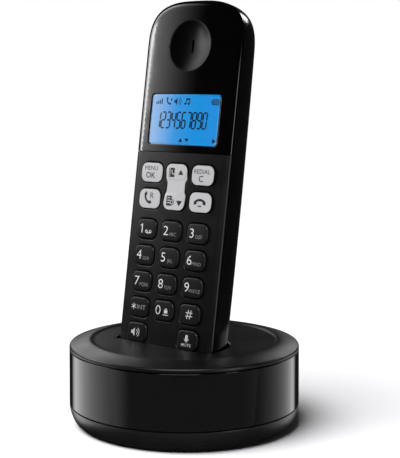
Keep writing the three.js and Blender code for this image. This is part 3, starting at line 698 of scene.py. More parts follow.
# ------------------------------------------------------------------ keys
def key_top(key, x, z):
    """Depth of a key's top, slightly domed towards its middle."""
    u = min(1, abs(x - key.x) / (key.size[0] / 2))
    v = min(1, abs(z - key.z) / (key.size[1] / 2))
    return crown(key.x) - KEY_PROUD - 0.14 * (1 - u * u) * (1 - v * v)


def key_body(outline, top, spacing, side_finish=None):
    """A key over its top, round its softened edge and down its sides to its hidden foot."""
    surface = Surface(side_finish)
    soft = 0.55
    last, _ = fill(surface, outline(-soft), [], lambda x, z: (x, top(x, z), z), spacing)
    for sine, cosine in quarter(5)[1:]:
        if cosine < 0.4 and surface.second_from is None:
            surface.second_from = len(surface.faces)
        plan = outline(-soft * (1 - sine))
        last = surface.extend(last, [(x, top(x, z) + soft * (1 - cosine), z) for x, z in plan])
    surface.cap(surface.extend(last, [(x, KEY_FOOT_Y, z) for x, z in outline(0)]))
    return surface


def make_keys():
    for key in all_keys():
        # The silver keys' sides and the foot of their rounded edge are black: painted shade for the dark gap
        # round them.
        finish, side_finish = ("key_silver", "key_black") if key.silver else ("key_black", None)
        surface = key_body(
            lambda grow: key_outline(key, grow), lambda x, z: key_top(key, x, z), 1.0, side_finish)
        make_piece(key.name + "_cap", surface, key.name, finish, key.name, sharp=60)


def rocker_top(x, z):
    """Two raised pads with bowed inner edges, and the dipped waist between them."""
    step = 2.7 + 0.035 * x * x
    dip = 0.5 * (1 - smooth((abs(z - ROCKER_Z) - step + 0.3) / 0.6))
    return -KEY_PROUD - 0.08 * (1 - (x / 6) ** 2) + dip


def make_rocker():
    # The rocker's sides are black too: painted shade for the dark gap round it.
    surface = key_body(rocker_outline, rocker_top, 0.42, "key_black")
    make_piece("key_rocker_cap", surface, "key_rocker", "key_silver", "key_rocker", sharp=60)


# ------------------------------------------------------------------ printed legends
class Print(Surface):
    """Flat printed shapes on a face. Each is drawn round a middle, which can be moved, scaled and turned."""

    def __init__(self, lift):
        super().__init__()
        self.lift = lift
        self.at(0, 0)

    def at(self, x, z, scale=1.0, turn=0.0, above=0.0):
        """Sets the place, scale, turn in degrees and height above the print of what is drawn next."""
        self.middle = (x, z)
        self.cosine, self.sine = math.cos(math.radians(turn)) * scale, math.sin(math.radians(turn)) * scale
        self.above = above
        return self

    def patch(self, outline):
        """One filled shape."""
        x0, z0 = self.middle
        flat = [
            (x0 + self.cosine * x - self.sine * z, z0 + self.sine * x + self.cosine * z) for x, z in outline]
        self.cap(self.add([(x, self.lift(x, z) - self.above, z) for x, z in flat]))

    def box(self, left, low, right, high):
        self.patch([(left, low), (right, low), (right, high), (left, high)])

    def bar(self, start, end, width):
        """A straight stroke."""
        start, end = Vector(start), Vector(end)
        side = (end - start).orthogonal().normalized() * width / 2
        self.patch([tuple(p) for p in (start - side, end - side, end + side, start + side)])

    def bow(self, radius, width, start, end, middle=(0, 0)):
        """A curved stroke between two angles in degrees."""
        steps = max(4, round(abs(end - start) / 12))
        turns = [math.radians(start + (end - start) * i / steps) for i in range(steps + 1)]
        low, high = radius - width / 2, radius + width / 2
        for a, b in zip(turns, turns[1:]):
            self.patch([
                (middle[0] + r * math.cos(t), middle[1] + r * math.sin(t))
                for r, t in ((low, a), (high, a), (high, b), (low, b))
            ])

    def triangle(self):
        self.patch([(-1, -0.75), (1, -0.75), (0, 0.85)])

    def receiver(self):
        """A telephone receiver, arched upwards, 2 units long."""
        self.bow(1.3, 0.36, 40, 140, (0, -1.0))
        for side in (-1, 1):
            self.patch([(side * x, z) for x, z in ((1.08, 0.0), (0.64, 0.2), (0.52, -0.3), (1.08, -0.46))])

    def speaker(self):
        """A small loudspeaker with two waves coming from it."""
        self.patch([(-1.25, -0.3), (-0.9, -0.3), (-0.35, -0.85), (-0.35, 0.85), (-0.9, 0.3), (-1.25, 0.3)])
        for radius in (0.62, 1.06):
            self.bow(radius, 0.15, -52, 52, (-0.3, 0))

    def letters(self, text, height, bold=0.0, aspect=1.0):
        """Lettering whose capitals are a given height, centred on the middle."""
        curve = bpy.data.curves.new("letters", "FONT")
        curve.body = text
        curve.align_x = "CENTER"
        curve.resolution_u = 3
        curve.offset = bold
        carrier = new_object("letters", curve)
        bpy.context.view_layer.update()
        mesh = bpy.data.meshes.new_from_object(carrier.evaluated_get(bpy.context.evaluated_depsgraph_get()))
        scale = height / 0.69  # a capital of the built-in typeface is 0.69 of its size
        x0, z0 = self.middle
        flat = [(x0 + v.co.x * scale * aspect, z0 + v.co.y * scale - height / 2) for v in mesh.vertices]
        indices = self.add([(x, self.lift(x, z), z) for x, z in flat])
        self.faces += [[indices[i] for i in polygon.vertices] for polygon in mesh.polygons]
        bpy.data.objects.remove(carrier)
        bpy.data.meshes.remove(mesh)
        bpy.data.curves.remove(curve)


def numeral(pen, digit):
    """A key's big numeral; the one and the nought are drawn, for a flag and a rounder shape."""
    if digit == "1":
        pen.bar((0.25, -1.85), (0.25, 1.85), 0.46)
        pen.bar((0.2, 1.62), (-0.75, 0.95), 0.42)
    elif digit == "0":
        for a, b in ((2 * math.pi * k / 24, 2 * math.pi * (k + 1) / 24) for k in range(24)):
            corners = ((0.86, 1.42, a), (1.28, 1.85, a), (1.28, 1.85, b), (0.86, 1.42, b))
            pen.patch([(w * math.cos(t), h * math.sin(t)) for w, h, t in corners])
    else:
        pen.letters(digit, 3.75, -0.008, 1.08)


def black_legend(pen, name, x, z):
    """What a black key says in white: its number or sign."""
    if name.isdigit():
        numeral(pen.at(x - 2.4, z + 0.1), name)
    if name == "1":
        pen.at(x + 1.2, z - 1.1)
        for side in (-1, 1):
            pen.bow(0.5, 0.28, 0, 360, (side * 0.98, 0.1))
        pen.bar((-0.95, -0.52), (0.95, -0.52), 0.3)
    elif name == "0":
        pen.at(x + 1.6, z).box(-0.85, -0.85, 0.85, 0.3)
        pen.bow(0.52, 0.3, 0, 180, (0, 0.4))
        pen.bar((-1.4, -1.6), (1.4, -1.6), 0.3)
    elif name == "star":
        for turn in (90, 150, 210):
            pen.at(x - 2.6, z + 0.1, turn=turn).bar((-1.3, 0), (1.3, 0), 0.3)
    elif name == "hash":
        pen.at(x + 0.1, z)
        for away in (-0.68, 0.68):
            pen.bar((away - 0.3, -1.8), (away + 0.3, 1.8), 0.3)
            pen.bar((-1.65, away), (1.65, away), 0.3)
    elif name == "speaker":
        pen.at(x - 0.1, z, 2.1).speaker()
    elif name == "mute":
        pen.at(x, z + 1.1).patch(rounded_rectangle(1.3, 2.4, 0.62, 4))
        pen.bow(1.15, 0.26, 190, 350, (0, -0.2))
        pen.bar((0, -1.4), (0, -2.0), 0.3)
        pen.at(x, z - 1.75).letters("MUTE", 1.15, 0.006, 1.15)


def small_legend(pen, name, x, z):
    """The small grey letters beside a number."""
    beside = {
        "2": "ABC", "3": "DEF", "4": "GHI", "5": "JKL", "6": "MNO", "7": "PQRS", "8": "TUV", "9": "WXYZ",
    }
    if name in beside:
        aside = 1.2 + 0.3 * (len(beside[name]) - 3)
        pen.at(x + aside, z - 1.2).letters(beside[name], 1.4, 0.0, 0.95)
    elif name == "star":
        pen.at(x + 1.3, z).letters("INT", 1.9, 0.008, 1.05)


def silver_legend(pen, name, x, z):
    """The words or receiver of a silver key."""
    if name == "menu_ok":
        pen.at(x - 0.4, z + 1.75).letters("MENU", 1.75)
        pen.at(x - 0.5, z - 1.15).letters("OK", 2.3, 0.008)
    elif name == "redial_clear":
        pen.at(x - 0.3, z + 1.5).letters("REDIAL", 1.75)
        pen.at(x - 0.5, z - 1.4).letters("C", 2.4, 0.008)
    elif name == "talk":
        pen.at(x - 1.0, z, 2.5, 125).receiver()
        pen.at(x + 1.2, z + 1.3).letters("R", 2.2, 0.0, 1.1)
    elif name == "end_call":
        pen.at(x, z + 0.15, 2.7).receiver()
        pen.at(x, z).bar((-0.9, -1.5), (0.9, -1.5), 0.45)


BOOK, PAGE = (-2.2, MENU_Z + 0.4), (-2.2, TALK_Z - 0.3)  # the rocker's phonebook and call list


def rocker_legend(pen):
    """A phonebook with an up arrow, and a call list with a down arrow, as solid dark shapes."""
    pen.at(*BOOK).box(-1.4, -1.85, 1.4, 1.85)
    pen.at(2.4, BOOK[1] + 0.2, 1.3).triangle()
    pen.at(*PAGE).box(-1.4, -2.0, 1.2, 2.0)
    pen.at(*PAGE, above=0.01).patch(circle(1.25, 16, (1.3, -0.5)))
    pen.at(2.9, PAGE[1] - 0.8, 1.4, 180, 0.02).triangle()


def rocker_cutouts(pen):
    """The light details inside the rocker's dark icons."""
    pen.at(BOOK[0] + 0.45, BOOK[1], turn=125).receiver()
    pen.at(*BOOK).bar((-0.9, -1.7), (-0.9, 1.7), 0.3)
    pen.at(*PAGE)
    for z in (1.2, 0.2, -0.8):
        pen.bar((-0.95, z), (0.45, z), 0.42)
    pen.bow(0.72, 0.36, 0, 360, (1.3, -0.5))


def make_legends():
    for key in all_keys():
        main = (silver_legend, "dark_ink") if key.silver else (black_legend, "white_ink")
        for ending, (drawn, finish) in (("_legend", main), ("_letters", (small_legend, "grey_ink"))):
            pen = Print(lambda x, z: key_top(key, x, z) - PRINT_PROUD)
            drawn(pen, key.name.removeprefix("key_"), key.x, key.z)
            if pen.points:
                make_piece(key.name + ending, pen, key.name, finish)
    for ending, drawn, finish, proud in (
        ("_legend", rocker_legend, "dark_ink", 0.04), ("_cutouts", rocker_cutouts, "key_silver", 0.07),
    ):
        pen = Print(lambda x, z: rocker_top(x, z) - proud)
        drawn(pen)
        make_piece("key_rocker" + ending, pen, "key_rocker", finish)


# ------------------------------------------------------------------ display
SEGMENTS = {
    "1": "bc", "2": "abged", "3": "abgcd", "4": "fgbc", "5": "afgcd", "6": "afgedc", "7": "abc",
    "8": "abcdefg", "9": "abcdfg", "0": "abcdef",
}


def seven_segments(pen, digit, width, height):
    """One slanted digit built from bevelled strokes."""
    thick, gap, slant = 0.68, 0.05, 0.07
    w, h = width / 2, height / 2
    ends = {
        "a": ((-w, h), (w, h)), "g": ((-w, 0), (w, 0)), "d": ((-w, -h), (w, -h)), "f": ((-w, 0), (-w, h)),
        "b": ((w, 0), (w, h)), "e": ((-w, -h), (-w, 0)), "c": ((w, -h), (w, 0)),
    }
    for segment in SEGMENTS[digit]:
        start, end = (Vector(p) for p in ends[segment])
        along = (end - start).normalized()
        side, tip = Vector((-along.y, along.x)) * thick / 2, along * thick / 2
        start, end = start + along * gap, end - along * gap
        outline = [start, start + tip - side, end - tip - side, end, end - tip + side, start + tip + side]
        pen.patch([(p.x + slant * p.y, p.y) for p in outline])


def display_marks():
    """Everything the display shows, as dark marks just in front of the lit panel."""
    pen = Print(lambda x, z: MARKS_Y)
    top = WINDOW_Z + 7.5
    for k in range(4):
        x, low = -16.4 + 0.95 * k, top - 1.15
        pen.bar((x, low), (x, low + 0.8 + 0.5 * k), 0.6)
    pen.at(-10.2, top, 1.65, 125).receiver()
    pen.at(-8.5, top + 0.7, 0.6, -90).triangle()
    pen.at(-5.0, top, 1.75).speaker()
    for x in (-1.4, 0.3):
        pen.at(x, top - 0.85).patch([(0.62 * math.cos(t), 0.5 * math.sin(t)) for t in range(6)])
        pen.at(0, top).bar((x + 0.42, -0.9), (x + 0.42, 1.1), 0.36)
    pen.bar((-1.1, 1.0), (0.85, 1.0), 0.7)
    pen.at(13.9, top)
    for start, end in (
        ((-1.95, -0.95), (1.8, -0.95)), ((-1.95, 0.95), (1.8, 0.95)), ((1.7, -1.1), (1.7, 1.1)),
        ((-1.85, -1.1), (-1.85, 1.1)), ((-2.3, -0.5), (-2.3, 0.5)),
    ):
        pen.bar(start, end, 0.4)
    for x in (-1.1, -0.1, 0.9):
        pen.bar((x, -0.6), (x, 0.6), 0.66)
    for k, digit in enumerate("1234567890"):
        seven_segments(pen.at(-14.6 + 2.62 * k, WINDOW_Z - 0.1), digit, 1.85, 6.4)
    pen.at(-2.2, WINDOW_Z - 8.1).triangle()
    pen.at(0.9, WINDOW_Z - 8.1, turn=180).triangle()
    pen.at(14.3, WINDOW_Z - 8.0, 1.1, -90).triangle()
    make_piece("display_marks", pen, "handset", "display_ink")


def display_panel():
    surface = Surface()
    outline = rounded_rectangle(38, 22.6, 0.8, 3, (0, WINDOW_Z))
    surface.solid([[(x, y, z) for x, z in outline] for y in (DISPLAY_Y, DISPLAY_BACK_Y)])
    make_piece("display_glass", surface, "handset", "display", "display_panel")


# ------------------------------------------------------------------ base
def well_plan(grow):
    """The well's plan in the handset's frame: straight in front and rounded like the rear shell behind."""
    half_width, front = HALF_WIDTH + WELL_CLEARANCE + grow, WELL_FRONT_Y - grow
    corner, reach = WELL_CORNER + grow, WELL_REACH + grow
    right = [
        (half_width - corner + corner * sine, front + corner * (1 - cosine)) for sine, cosine in quarter(6)]
    for sine, cosine in quarter(24)[1:-1]:
        right.append((half_width * cosine ** (2 / BACK_POWER), PARTING + reach * sine ** (2 / BACK_POWER)))
    right.append((0, PARTING + reach))
    straight = half_width - corner
    front_edge = [(-straight + 2 * straight * i / 24, front) for i in range(1, 24)]
    return mirrored(right) + front_edge


def well_slice(grow, height):
    """The well's plan where a level plane cuts it, in the base's frame."""
    points = []
    for x, y in well_plan(grow):
        up = (height - HANDSET.translation.z + y * math.sin(LEAN)) / math.cos(LEAN)
        points.append(tuple(HANDSET @ Vector((x, y, up)))[:2])
    return points


def well_ring(grow, up):
    """The well's plan square to its leaning axis, in the base's frame."""
    return [HANDSET @ Vector((x, y, up)) for x, y in well_plan(grow)]


def dish_height(x, y):
    """The dish is deepest at the back and runs out towards the front."""
    return CREST_Z - DISH_FRONT - (DISH_BACK - DISH_FRONT) * (y + CREST_RADIUS) / (2 * CREST_RADIUS)


def cover_rings():
    """The top cover from the dish's rim over its crest and outer slope, and round under its lip."""
    rings = []
    for i in range(1, 9):
        ring = []
        for x, y in circle(DISH_RADIUS + (CREST_RADIUS - DISH_RADIUS) * i / 8):
            dish = dish_height(x, y)
            ring.append((x, y, dish + (CREST_Z - dish) * smooth(i / 8)))
        rings.append(ring)
    profile = []
    for i in range(1, 11):
        radius = CREST_RADIUS + (SLOPE_END_RADIUS - CREST_RADIUS) * i / 10
        profile.append((radius, CREST_Z - (CREST_Z - SLOPE_END_Z) * (i / 10) ** SLOPE_POWER))
    out, drop = BAND_TOP_RADIUS - SLOPE_END_RADIUS, SLOPE_END_Z - COVER_EDGE_Z
    for sine, cosine in quarter(8)[1:]:
        profile.append((SLOPE_END_RADIUS + out * sine, SLOPE_END_Z - drop * (1 - cosine)))
    profile += [
        (BAND_TOP_RADIUS, BAND_TOP_Z + 0.15), (BAND_TOP_RADIUS - 0.15, BAND_TOP_Z),
        (LIP_OUTER, BAND_TOP_Z - 0.1), (LIP_OUTER, BAND_TOP_Z - 4), (LIP_INNER, BAND_TOP_Z - 4),
        (LIP_INNER, BAND_TOP_Z), (COVER_UNDER_RADIUS, COVER_UNDER_Z),
    ]
    return rings + turned(profile)


def base_top_cover():
    surface = Surface()
    soft = 0.6
    level = CREST_Z - DISH_BACK / 2

    def dish(x, y, drop=0.0):
        return (x, y, dish_height(x, y) - drop)

    def well_edge(across, down):
        return [dish(*p, soft * down) for p in well_slice(soft * across, level - soft * down)]

    rim, holes = fill(surface, circle(DISH_RADIUS), [well_slice(soft, level)], dish, 1.8)
    outside = surface.loft(cover_rings())
    surface.bridge(rim, outside[0])
    last = surface.roll(holes[0], 4, well_edge)
    inner = surface.loft([
        well_ring(-WELL_FLOOR_SOFT * (1 - cosine), WELL_FLOOR + WELL_FLOOR_SOFT * (1 - sine))
        for sine, cosine in quarter(3)[:-1]
    ])
    surface.bridge(last, inner[0])

    slots = [rounded_rectangle(4.4, 11.2, 0.5, 3, (side * 9, 12.2)) for side in (-1, 1)]
    floor_rim, tops = fill(surface, well_plan(-WELL_FLOOR_SOFT), slots,
                           lambda x, y: HANDSET @ Vector((x, y, WELL_FLOOR)), 2.5)
    surface.bridge(inner[-1], floor_rim)
    under_rim, under_holes = fill(surface, circle(COVER_UNDER_RADIUS), [well_slice(WELL_WALL, COVER_UNDER_Z)],
                                  lambda x, y: (x, y, COVER_UNDER_Z), 4)
    surface.bridge(outside[-1], under_rim)
    bottom_rim, bottoms = fill(surface, well_plan(WELL_WALL), slots,
                               lambda x, y: HANDSET @ Vector((x, y, WELL_FLOOR - WELL_WALL)), 4)
    surface.bridge(under_holes[0], bottom_rim)
    for a, b in zip(tops, bottoms):
        surface.bridge(a, b)
    for place in BASE_SCREWS:
        post = [(3.2, 32.4), (3.2, 6.5), (3.0, 6.3), (1.6, 6.3), (1.6, 16)]
        surface.cap(surface.loft(turned(post, 24, place))[-1])
    make_piece("base_cover_moulding", surface, "base", "cover_black", "base_top_cover")


def round_columns(half_width, radius, count):
    """Angles round the base from one side of the connector notch, by the front, to the other side."""
    start = math.pi / 2 + math.asin(half_width / radius)
    sweep = 2 * math.pi - 2 * math.asin(half_width / radius)
    return [start + sweep * i / count for i in range(count + 1)]


def base_side_band():
    """The gloss band: one closed ring with a notch at the back for the connectors."""
    surface = Surface()
    low, high = SEAM_Z + GAP, BAND_TOP_Z - GAP
    front = round_columns(PANEL_HALF_WIDTH, SEAM_RADIUS, 210)
    back_count = 30
    notch = front[0] + 2 * math.pi - front[-1]
    turns = front + [front[-1] + notch * i / back_count for i in range(1, back_count)]
    heights = [low, low + 0.35, low + 2, low + 6, low + 10, PANEL_TOP_Z, PANEL_TOP_Z + 0.35, 26, 29]
    heights += [high - 0.35, high]

    def ring(radius, z):
        return [(radius * math.cos(t), radius * math.sin(t), z) for t in turns]

    taper = (BAND_TOP_RADIUS - SEAM_RADIUS) / (high - low)
    outer = [surface.add(ring(SEAM_RADIUS + taper * (z - low), z)) for z in heights]
    inner = [surface.add(ring(BAND_INNER_RADIUS, z)) for z in heights]
    notch_level = heights.index(PANEL_TOP_Z)
    span = len(front)
    for level in range(len(heights) - 1):
        whole = level >= notch_level
        end = None if whole else span
        surface.bridge(outer[level][:end], outer[level + 1][:end], whole)
        surface.bridge(inner[level + 1][:end], inner[level][:end], whole)
    surface.bridge(inner[0][:span], outer[0][:span], closed=False)
    surface.bridge(outer[-1], inner[-1])
    arches = [wall[notch_level][span - 1:] + wall[notch_level][:1] for wall in (inner, outer)]
    surface.bridge(*arches, closed=False)
    for level in range(notch_level):
        for column in (0, span - 1):
            corners = ((outer, level), (outer, level + 1), (inner, level + 1), (inner, level))
            surface.faces.append([wall[k][column] for wall, k in corners])
    soften(make_piece("base_band_moulding", surface, "base", "gloss_black", "base_side_band"), 0.25)


def base_bottom_shell():
    surface = Surface()
    soft, power = 0.3, 1.6
    foot, bore, boss = 4.8, 3.4, 4.6
    openings = [circle(foot, 40, place) for place in FEET]
    openings += [circle(bore, 32, place) for place in BASE_SCREWS]
    rim, holes = fill(surface, circle(PLATE_RADIUS - soft), openings, lambda x, y: (x, y, PLATE_Z), 3.5)
    profile = [(PLATE_RADIUS - soft * 0.3, PLATE_Z + soft * 0.08)]
    for i in range(1, 17):
        turn = math.pi / 2 * (0.16 + 0.84 * i / 16)
        across, down = math.sin(turn) ** (2 / power), max(0, math.cos(turn)) ** (2 / power)
        profile.append((PLATE_RADIUS + (SEAM_RADIUS - PLATE_RADIUS) * across,
                        PLATE_Z + (SEAM_Z - 0.2 - PLATE_Z) * (1 - down)))
    profile += [(SEAM_RADIUS - 0.06, SEAM_Z - 0.06), (SEAM_RADIUS - 0.2, SEAM_Z), (LIP_OUTER, SEAM_Z)]
    profile += [(LIP_INNER, SEAM_Z), (43, 5), (TRAY_FLOOR_RADIUS, TRAY_FLOOR_Z)]
    walls = surface.loft(turned(profile))
    surface.bridge(rim, walls[0])
    floor_rim, boss_rings = fill(
        surface, circle(TRAY_FLOOR_RADIUS), [circle(boss, 32, place) for place in BASE_SCREWS],
        lambda x, y: (x, y, TRAY_FLOOR_Z), 5)
    surface.bridge(walls[-1], floor_rim)
    for ring, place in zip(holes, FEET):
        surface.cap(surface.extend(ring, [(*p, PLATE_Z + 1) for p in circle(foot, 40, place)]))
    for ring, boss_ring, place in zip(holes[len(FEET):], boss_rings, BASE_SCREWS):
        levels = [(bore, 3.4), (1.7, 3.4), (1.7, 6), (4.4, 6), (boss, 5.8)]
        made = surface.loft(turned(levels, 32, place))
        surface.bridge(ring, made[0])
        surface.bridge(made[-1], boss_ring)
    lip_and_ledge(surface)
    make_piece("base_tray_moulding", surface, "base", "satin_black")


def lip_and_ledge(surface):
    """The lip inside the band, broken at the connectors, and the ledge under them."""
    half = PANEL_HALF_WIDTH - GAP
    turns = round_columns(half, LIP_INNER, 180)
    lip_top = SEAM_Z + 4.5
    section = [(LIP_OUTER, SEAM_Z), (LIP_OUTER, lip_top), (LIP_INNER, lip_top), (LIP_INNER, SEAM_Z)]
    levels = surface.loft([[(r * math.cos(t), r * math.sin(t), z) for t in turns] for r, z in section], False)
    for end in (0, -1):
        surface.cap([level[end] for level in levels])
    xs = [-half + 2 * half * i / 24 for i in range(25)]
    for radius, z in ((LIP_OUTER, SEAM_Z), (LIP_INNER, SEAM_Z - 1.6)):
        edge = surface.add([(x, math.sqrt(radius**2 - x * x), z) for x in xs])
        surface.extend(edge, [(x, PANEL_Y - 0.2, z) for x in xs], closed=False)


def connector_panel():
    """The flat panel at the back, with openings for the two jacks and the paging button."""
    surface = Surface()
    half, low, high = PANEL_HALF_WIDTH - GAP, SEAM_Z - 1, PANEL_TOP_Z - GAP
    openings = [
        rounded_rectangle(12.6, 10.9, 0.4, 3, (LINE_JACK_X, 13.9)), circle(4.0, 32, POWER_JACK),
        circle(2.9, 32, PAGING_BUTTON),
    ]
    outer = divided([(-half, low), (half, low), (half, high), (-half, high)], 2)
    rim, holes = fill(surface, outer, openings, lambda x, z: (x, PANEL_Y, z), 2)
    for ring in [rim, *holes]:
        surface.push(ring, -2)
    soften(make_piece("base_connector_panel", surface, "base", "satin_black", "base_bottom_shell"), 0.2)


def line_jack():
    """The telephone line's socket: a mouth with a latch groove above it, and gold wires inside."""
    surface = Surface()
    low, high, front = LINE_JACK_LOW, LINE_JACK_HIGH, PANEL_Y - GAP
    half, latch = LINE_JACK_HALF - 1.1, 2
    outer = rounded_rectangle(2 * LINE_JACK_HALF, 13.4, 0.3, 2, (LINE_JACK_X, 12.3))
    mouth = [(LINE_JACK_X + x, z) for x, z in (
        (-half, low), (half, low), (half, high), (latch, high), (latch, high + 1.8), (-latch, high + 1.8),
        (-latch, high), (-half, high))]
    rim, holes = fill(surface, outer, [mouth], lambda x, z: (x, front, z), 2)
    surface.cap(surface.push(rim, -13.6))
    surface.cap(surface.push(holes[0], -10.6))
    soften(make_piece("line_jack_socket", surface, "base", "jack_plastic", "line_jack"), 0.15)
    wires = Surface()
    path = [(2.5, low + 0.25), (3.2, low + 0.5), (8.5, high - 1.9), (10.4, high - 1.9)]
    for k in range(4):
        x = LINE_JACK_X + 1.02 * (k - 1.5)
        wires.solid([[(x + dx, front - back, z + dz) for dx, dz in circle(0.22, 8)] for back, z in path])
    make_piece("line_jack_wires", wires, "base", "gold")


def power_jack():
    surface = Surface()
    front = PANEL_Y - GAP
    outer = rounded_rectangle(9, 9.4, 0.4, 2, POWER_JACK)
    rim, holes = fill(surface, outer, [circle(3.2, 40, POWER_JACK)], lambda x, z: (x, front, z), 1.6)
    surface.cap(surface.push(rim, -11.5))
    bore = [(2.9, front - 0.3), (2.9, front - 9), (1.6, front - 9)]
    rings = surface.loft(turned_along_y(bore, POWER_JACK))
    surface.bridge(holes[0], rings[0])
    surface.cap(rings[-1])
    soften(make_piece("power_jack_socket", surface, "base", "jack_plastic", "power_jack"), 0.12)
    pin = Surface()
    profile = [(0.8, front - 9.2)] + [(0.8 * c, front - 1.9 + 0.5 * s) for s, c in quarter(4)[:-1]]
    pin.solid(turned_along_y(profile, POWER_JACK, 20))
    make_piece("power_jack_pin", pin, "base", "nickel")


def paging_button():
    surface = Surface()
    profile = [(1.2, 37.5), (2.6, 37.5), (2.6, 38.2), (3.4, 38.2), (3.4, 39.4), (2.6, 39.4), (2.6, 42.7)]
    profile += [(2.6 - 0.35 * (1 - c), 42.7 + 0.35 * s) for s, c in quarter(4)[1:]]
    profile += [(2.0, 43.1), (1.4, 43.16), (0.7, 43.19)]
    surface.solid(turned_along_y(profile, PAGING_BUTTON))
    make_piece("paging_button_cap", surface, "paging_button", "satin_black", "paging_button")


def cross_screw(name, place, head, shank, body):
    """A pan-head screw along its own z: head and shank are (radius, height), the top of the head at zero."""
    surface = Surface()
    (radius, height), (shank_radius, shank_height) = head, shank
    arm, slot = radius * 0.62, radius * 0.17
    cross = [
        (arm, -slot), (arm, slot), (slot, slot), (slot, arm), (-slot, arm), (-slot, slot), (-arm, slot),
        (-arm, -slot), (-slot, -slot), (-slot, -arm), (slot, -arm), (slot, -slot),
    ]
    dome, end = height * 0.35, -height - shank_height
    rim, holes = fill(surface, circle(radius * 0.93, 36), [cross],
                      lambda x, y: (x, y, -dome * (x * x + y * y) / radius**2), 0.35)
    side = [
        (radius, -dome - 0.12), (radius, -height), (shank_radius, -height), (shank_radius, end + 0.6),
        (shank_radius * 0.4, end),
    ]
    rings = surface.loft(turned(side, 36))
    surface.bridge(rim, rings[0])
    surface.cap(rings[-1])
    surface.cap(surface.extend(holes[0], [(x * 0.6, y * 0.6, -height * 0.75) for x, y in cross]))
    make_piece(name + "_cross", surface, body, "screw_steel", name, place=place)


def screws():
    for k, (x, y) in enumerate(BASE_SCREWS):
        spin = Matrix.Rotation(math.pi, 4, "X") @ Matrix.Rotation(0.5 + k, 4, "Z")
        place = Matrix.Translation((x, y, BASE_SCREW_TOP_Z)) @ spin
        cross_screw(f"base_screw_{k + 1}", place, (2.9, 1.7), (1.3, 10.9), "base")
    for side, name in ((-1, "left"), (1, "right")):
        place = HANDSET @ Matrix.Translation((side * HANDSET_SCREW_X, HANDSET_SCREW_TOP_Y, HANDSET_SCREW_Z))
        place = place @ Matrix.Rotation(-math.pi / 2, 4, "X") @ Matrix.Rotation(0.4 + side, 4, "Z")
        cross_screw("handset_screw_" + name, place, (1.9, 1.4), (1.1, 6.5), "handset")


def feet():
    profile = [(3.2, 0.06), (3.6, 0), (4.2, 0), (4.43, 0.1), (4.5, 0.3), (4.5, 1.4), (4.3, 1.5)]
    for k, place in enumerate(FEET):
        surface = Surface()
        surface.solid(turned(profile, 40, place))
        make_piece(f"base_foot_pad_{k + 1}", surface, "base", "foot_rubber", f"base_foot_{k + 1}")


# ------------------------------------------------------------------ materials
def add_node(tree, kind, inputs=(), **settings):
    """Adds a shader node, with settings for it and a value or a link for each named input."""
    made = tree.nodes.new("ShaderNode" + kind)
    for name, value in settings.items():
        setattr(made, name, value)
    for name, value in dict(inputs).items():
        if isinstance(value, bpy.types.NodeSocket):
            tree.links.new(value, made.inputs[name])
        else:
            made.inputs[name].default_value = value
    return made


def map_range(tree, value, start, end, low=0.0, high=1.0, interpolation="LINEAR"):
    """Turns the range from start to end into the range from low to high."""
    inputs = {"Value": value, "From Min": start, "From Max": end, "To Min": low, "To Max": high}
    return add_node(tree, "MapRange", inputs, interpolation_type=interpolation).outputs["Result"]


class Recipe:
    """A material's node tree, with a few short ways to add nodes."""

    def __init__(self, name):
        self.material = bpy.data.materials.new(name)
        self.material.use_nodes = True
        self.tree = self.material.node_tree
        self.tree.nodes.clear()
        self.shader = add_node(self.tree, "BsdfPrincipled")
        add_node(self.tree, "OutputMaterial", {"Surface": self.shader.outputs["BSDF"]})
        self.place = add_node(self.tree, "TexCoord").outputs["Object"]

    def noise(self, size, detail=2.0):
        """Soft noise whose lumps are about size millimetres across."""
        inputs = {"Scale": 1 / (size * MM), "Detail": detail, "Vector": self.place}
        return add_node(self.tree, "TexNoise", inputs).outputs["Fac"]

    def along(self, direction, start, end):
        """Runs from 0 to 1 between two distances in millimetres along a direction."""
        dot = add_node(self.tree, "VectorMath", {0: self.place, 1: direction}, operation="DOT_PRODUCT")
        return map_range(self.tree, dot.outputs["Value"], start * MM, end * MM)

    def ramp(self, value, stops):
        """Colours a value, by (position, colour) stops."""
        node = add_node(self.tree, "ValToRGB", {"Fac": value})
        elements = node.color_ramp.elements
        while len(elements) < len(stops):
            elements.new(0.5)
        for element, (position, colour) in zip(elements, stops):
            element.position = position
            element.color = (*colour, 1)
        return node.outputs["Color"]

    def mottled(self, value, dark, light):
        return self.ramp(value, [(0.3, dark), (0.7, light)])

    def spread(self, value, low, high):
        """Spreads the middle of a noise over the range from low to high."""
        return map_range(self.tree, value, 0.3, 0.7, low, high)

    def bump(self, height, distance):
        """Bump from a height, over a distance in millimetres."""
        node = add_node(self.tree, "Bump", {"Distance": distance * MM, "Height": height})
        self.put(Normal=node.outputs["Normal"])

    def put(self, **values):
        """Sets or links the shader's inputs, whose names have underscores for spaces."""
        for name, value in values.items():
            socket = self.shader.inputs[name.replace("_", " ")]
            if isinstance(value, bpy.types.NodeSocket):
                self.tree.links.new(value, socket)
            else:
                socket.default_value = value


def grey(level):
    return (level, level, level * 1.02)


def moulded(name, dark, light, roughness, grain, depth, specular=0.5):
    """Moulded plastic: a fine even grain, and faint wide changes in shade and polish."""
    recipe = Recipe(name)
    wide = recipe.noise(14, 3)
    recipe.put(
        Base_Color=recipe.mottled(wide, grey(dark), grey(light)),
        Roughness=recipe.spread(wide, roughness - 0.04, roughness + 0.04),
        Specular_IOR_Level=specular,
    )
    recipe.bump(recipe.noise(grain, 1), depth)
    return recipe.material


def gloss_black():
    """High-gloss moulded plastic with the faintest ripple and smudges."""
    recipe = Recipe("gloss_black_plastic")
    smudge = recipe.noise(9, 4)
    recipe.put(
        Base_Color=recipe.ramp(smudge, [(0.35, grey(0.0008)), (0.75, grey(0.0014))]),
        Roughness=recipe.spread(smudge, 0.05, 0.1),
        Specular_IOR_Level=0.5,
    )
    recipe.bump(recipe.noise(22, 1), 0.004)
    return recipe.material


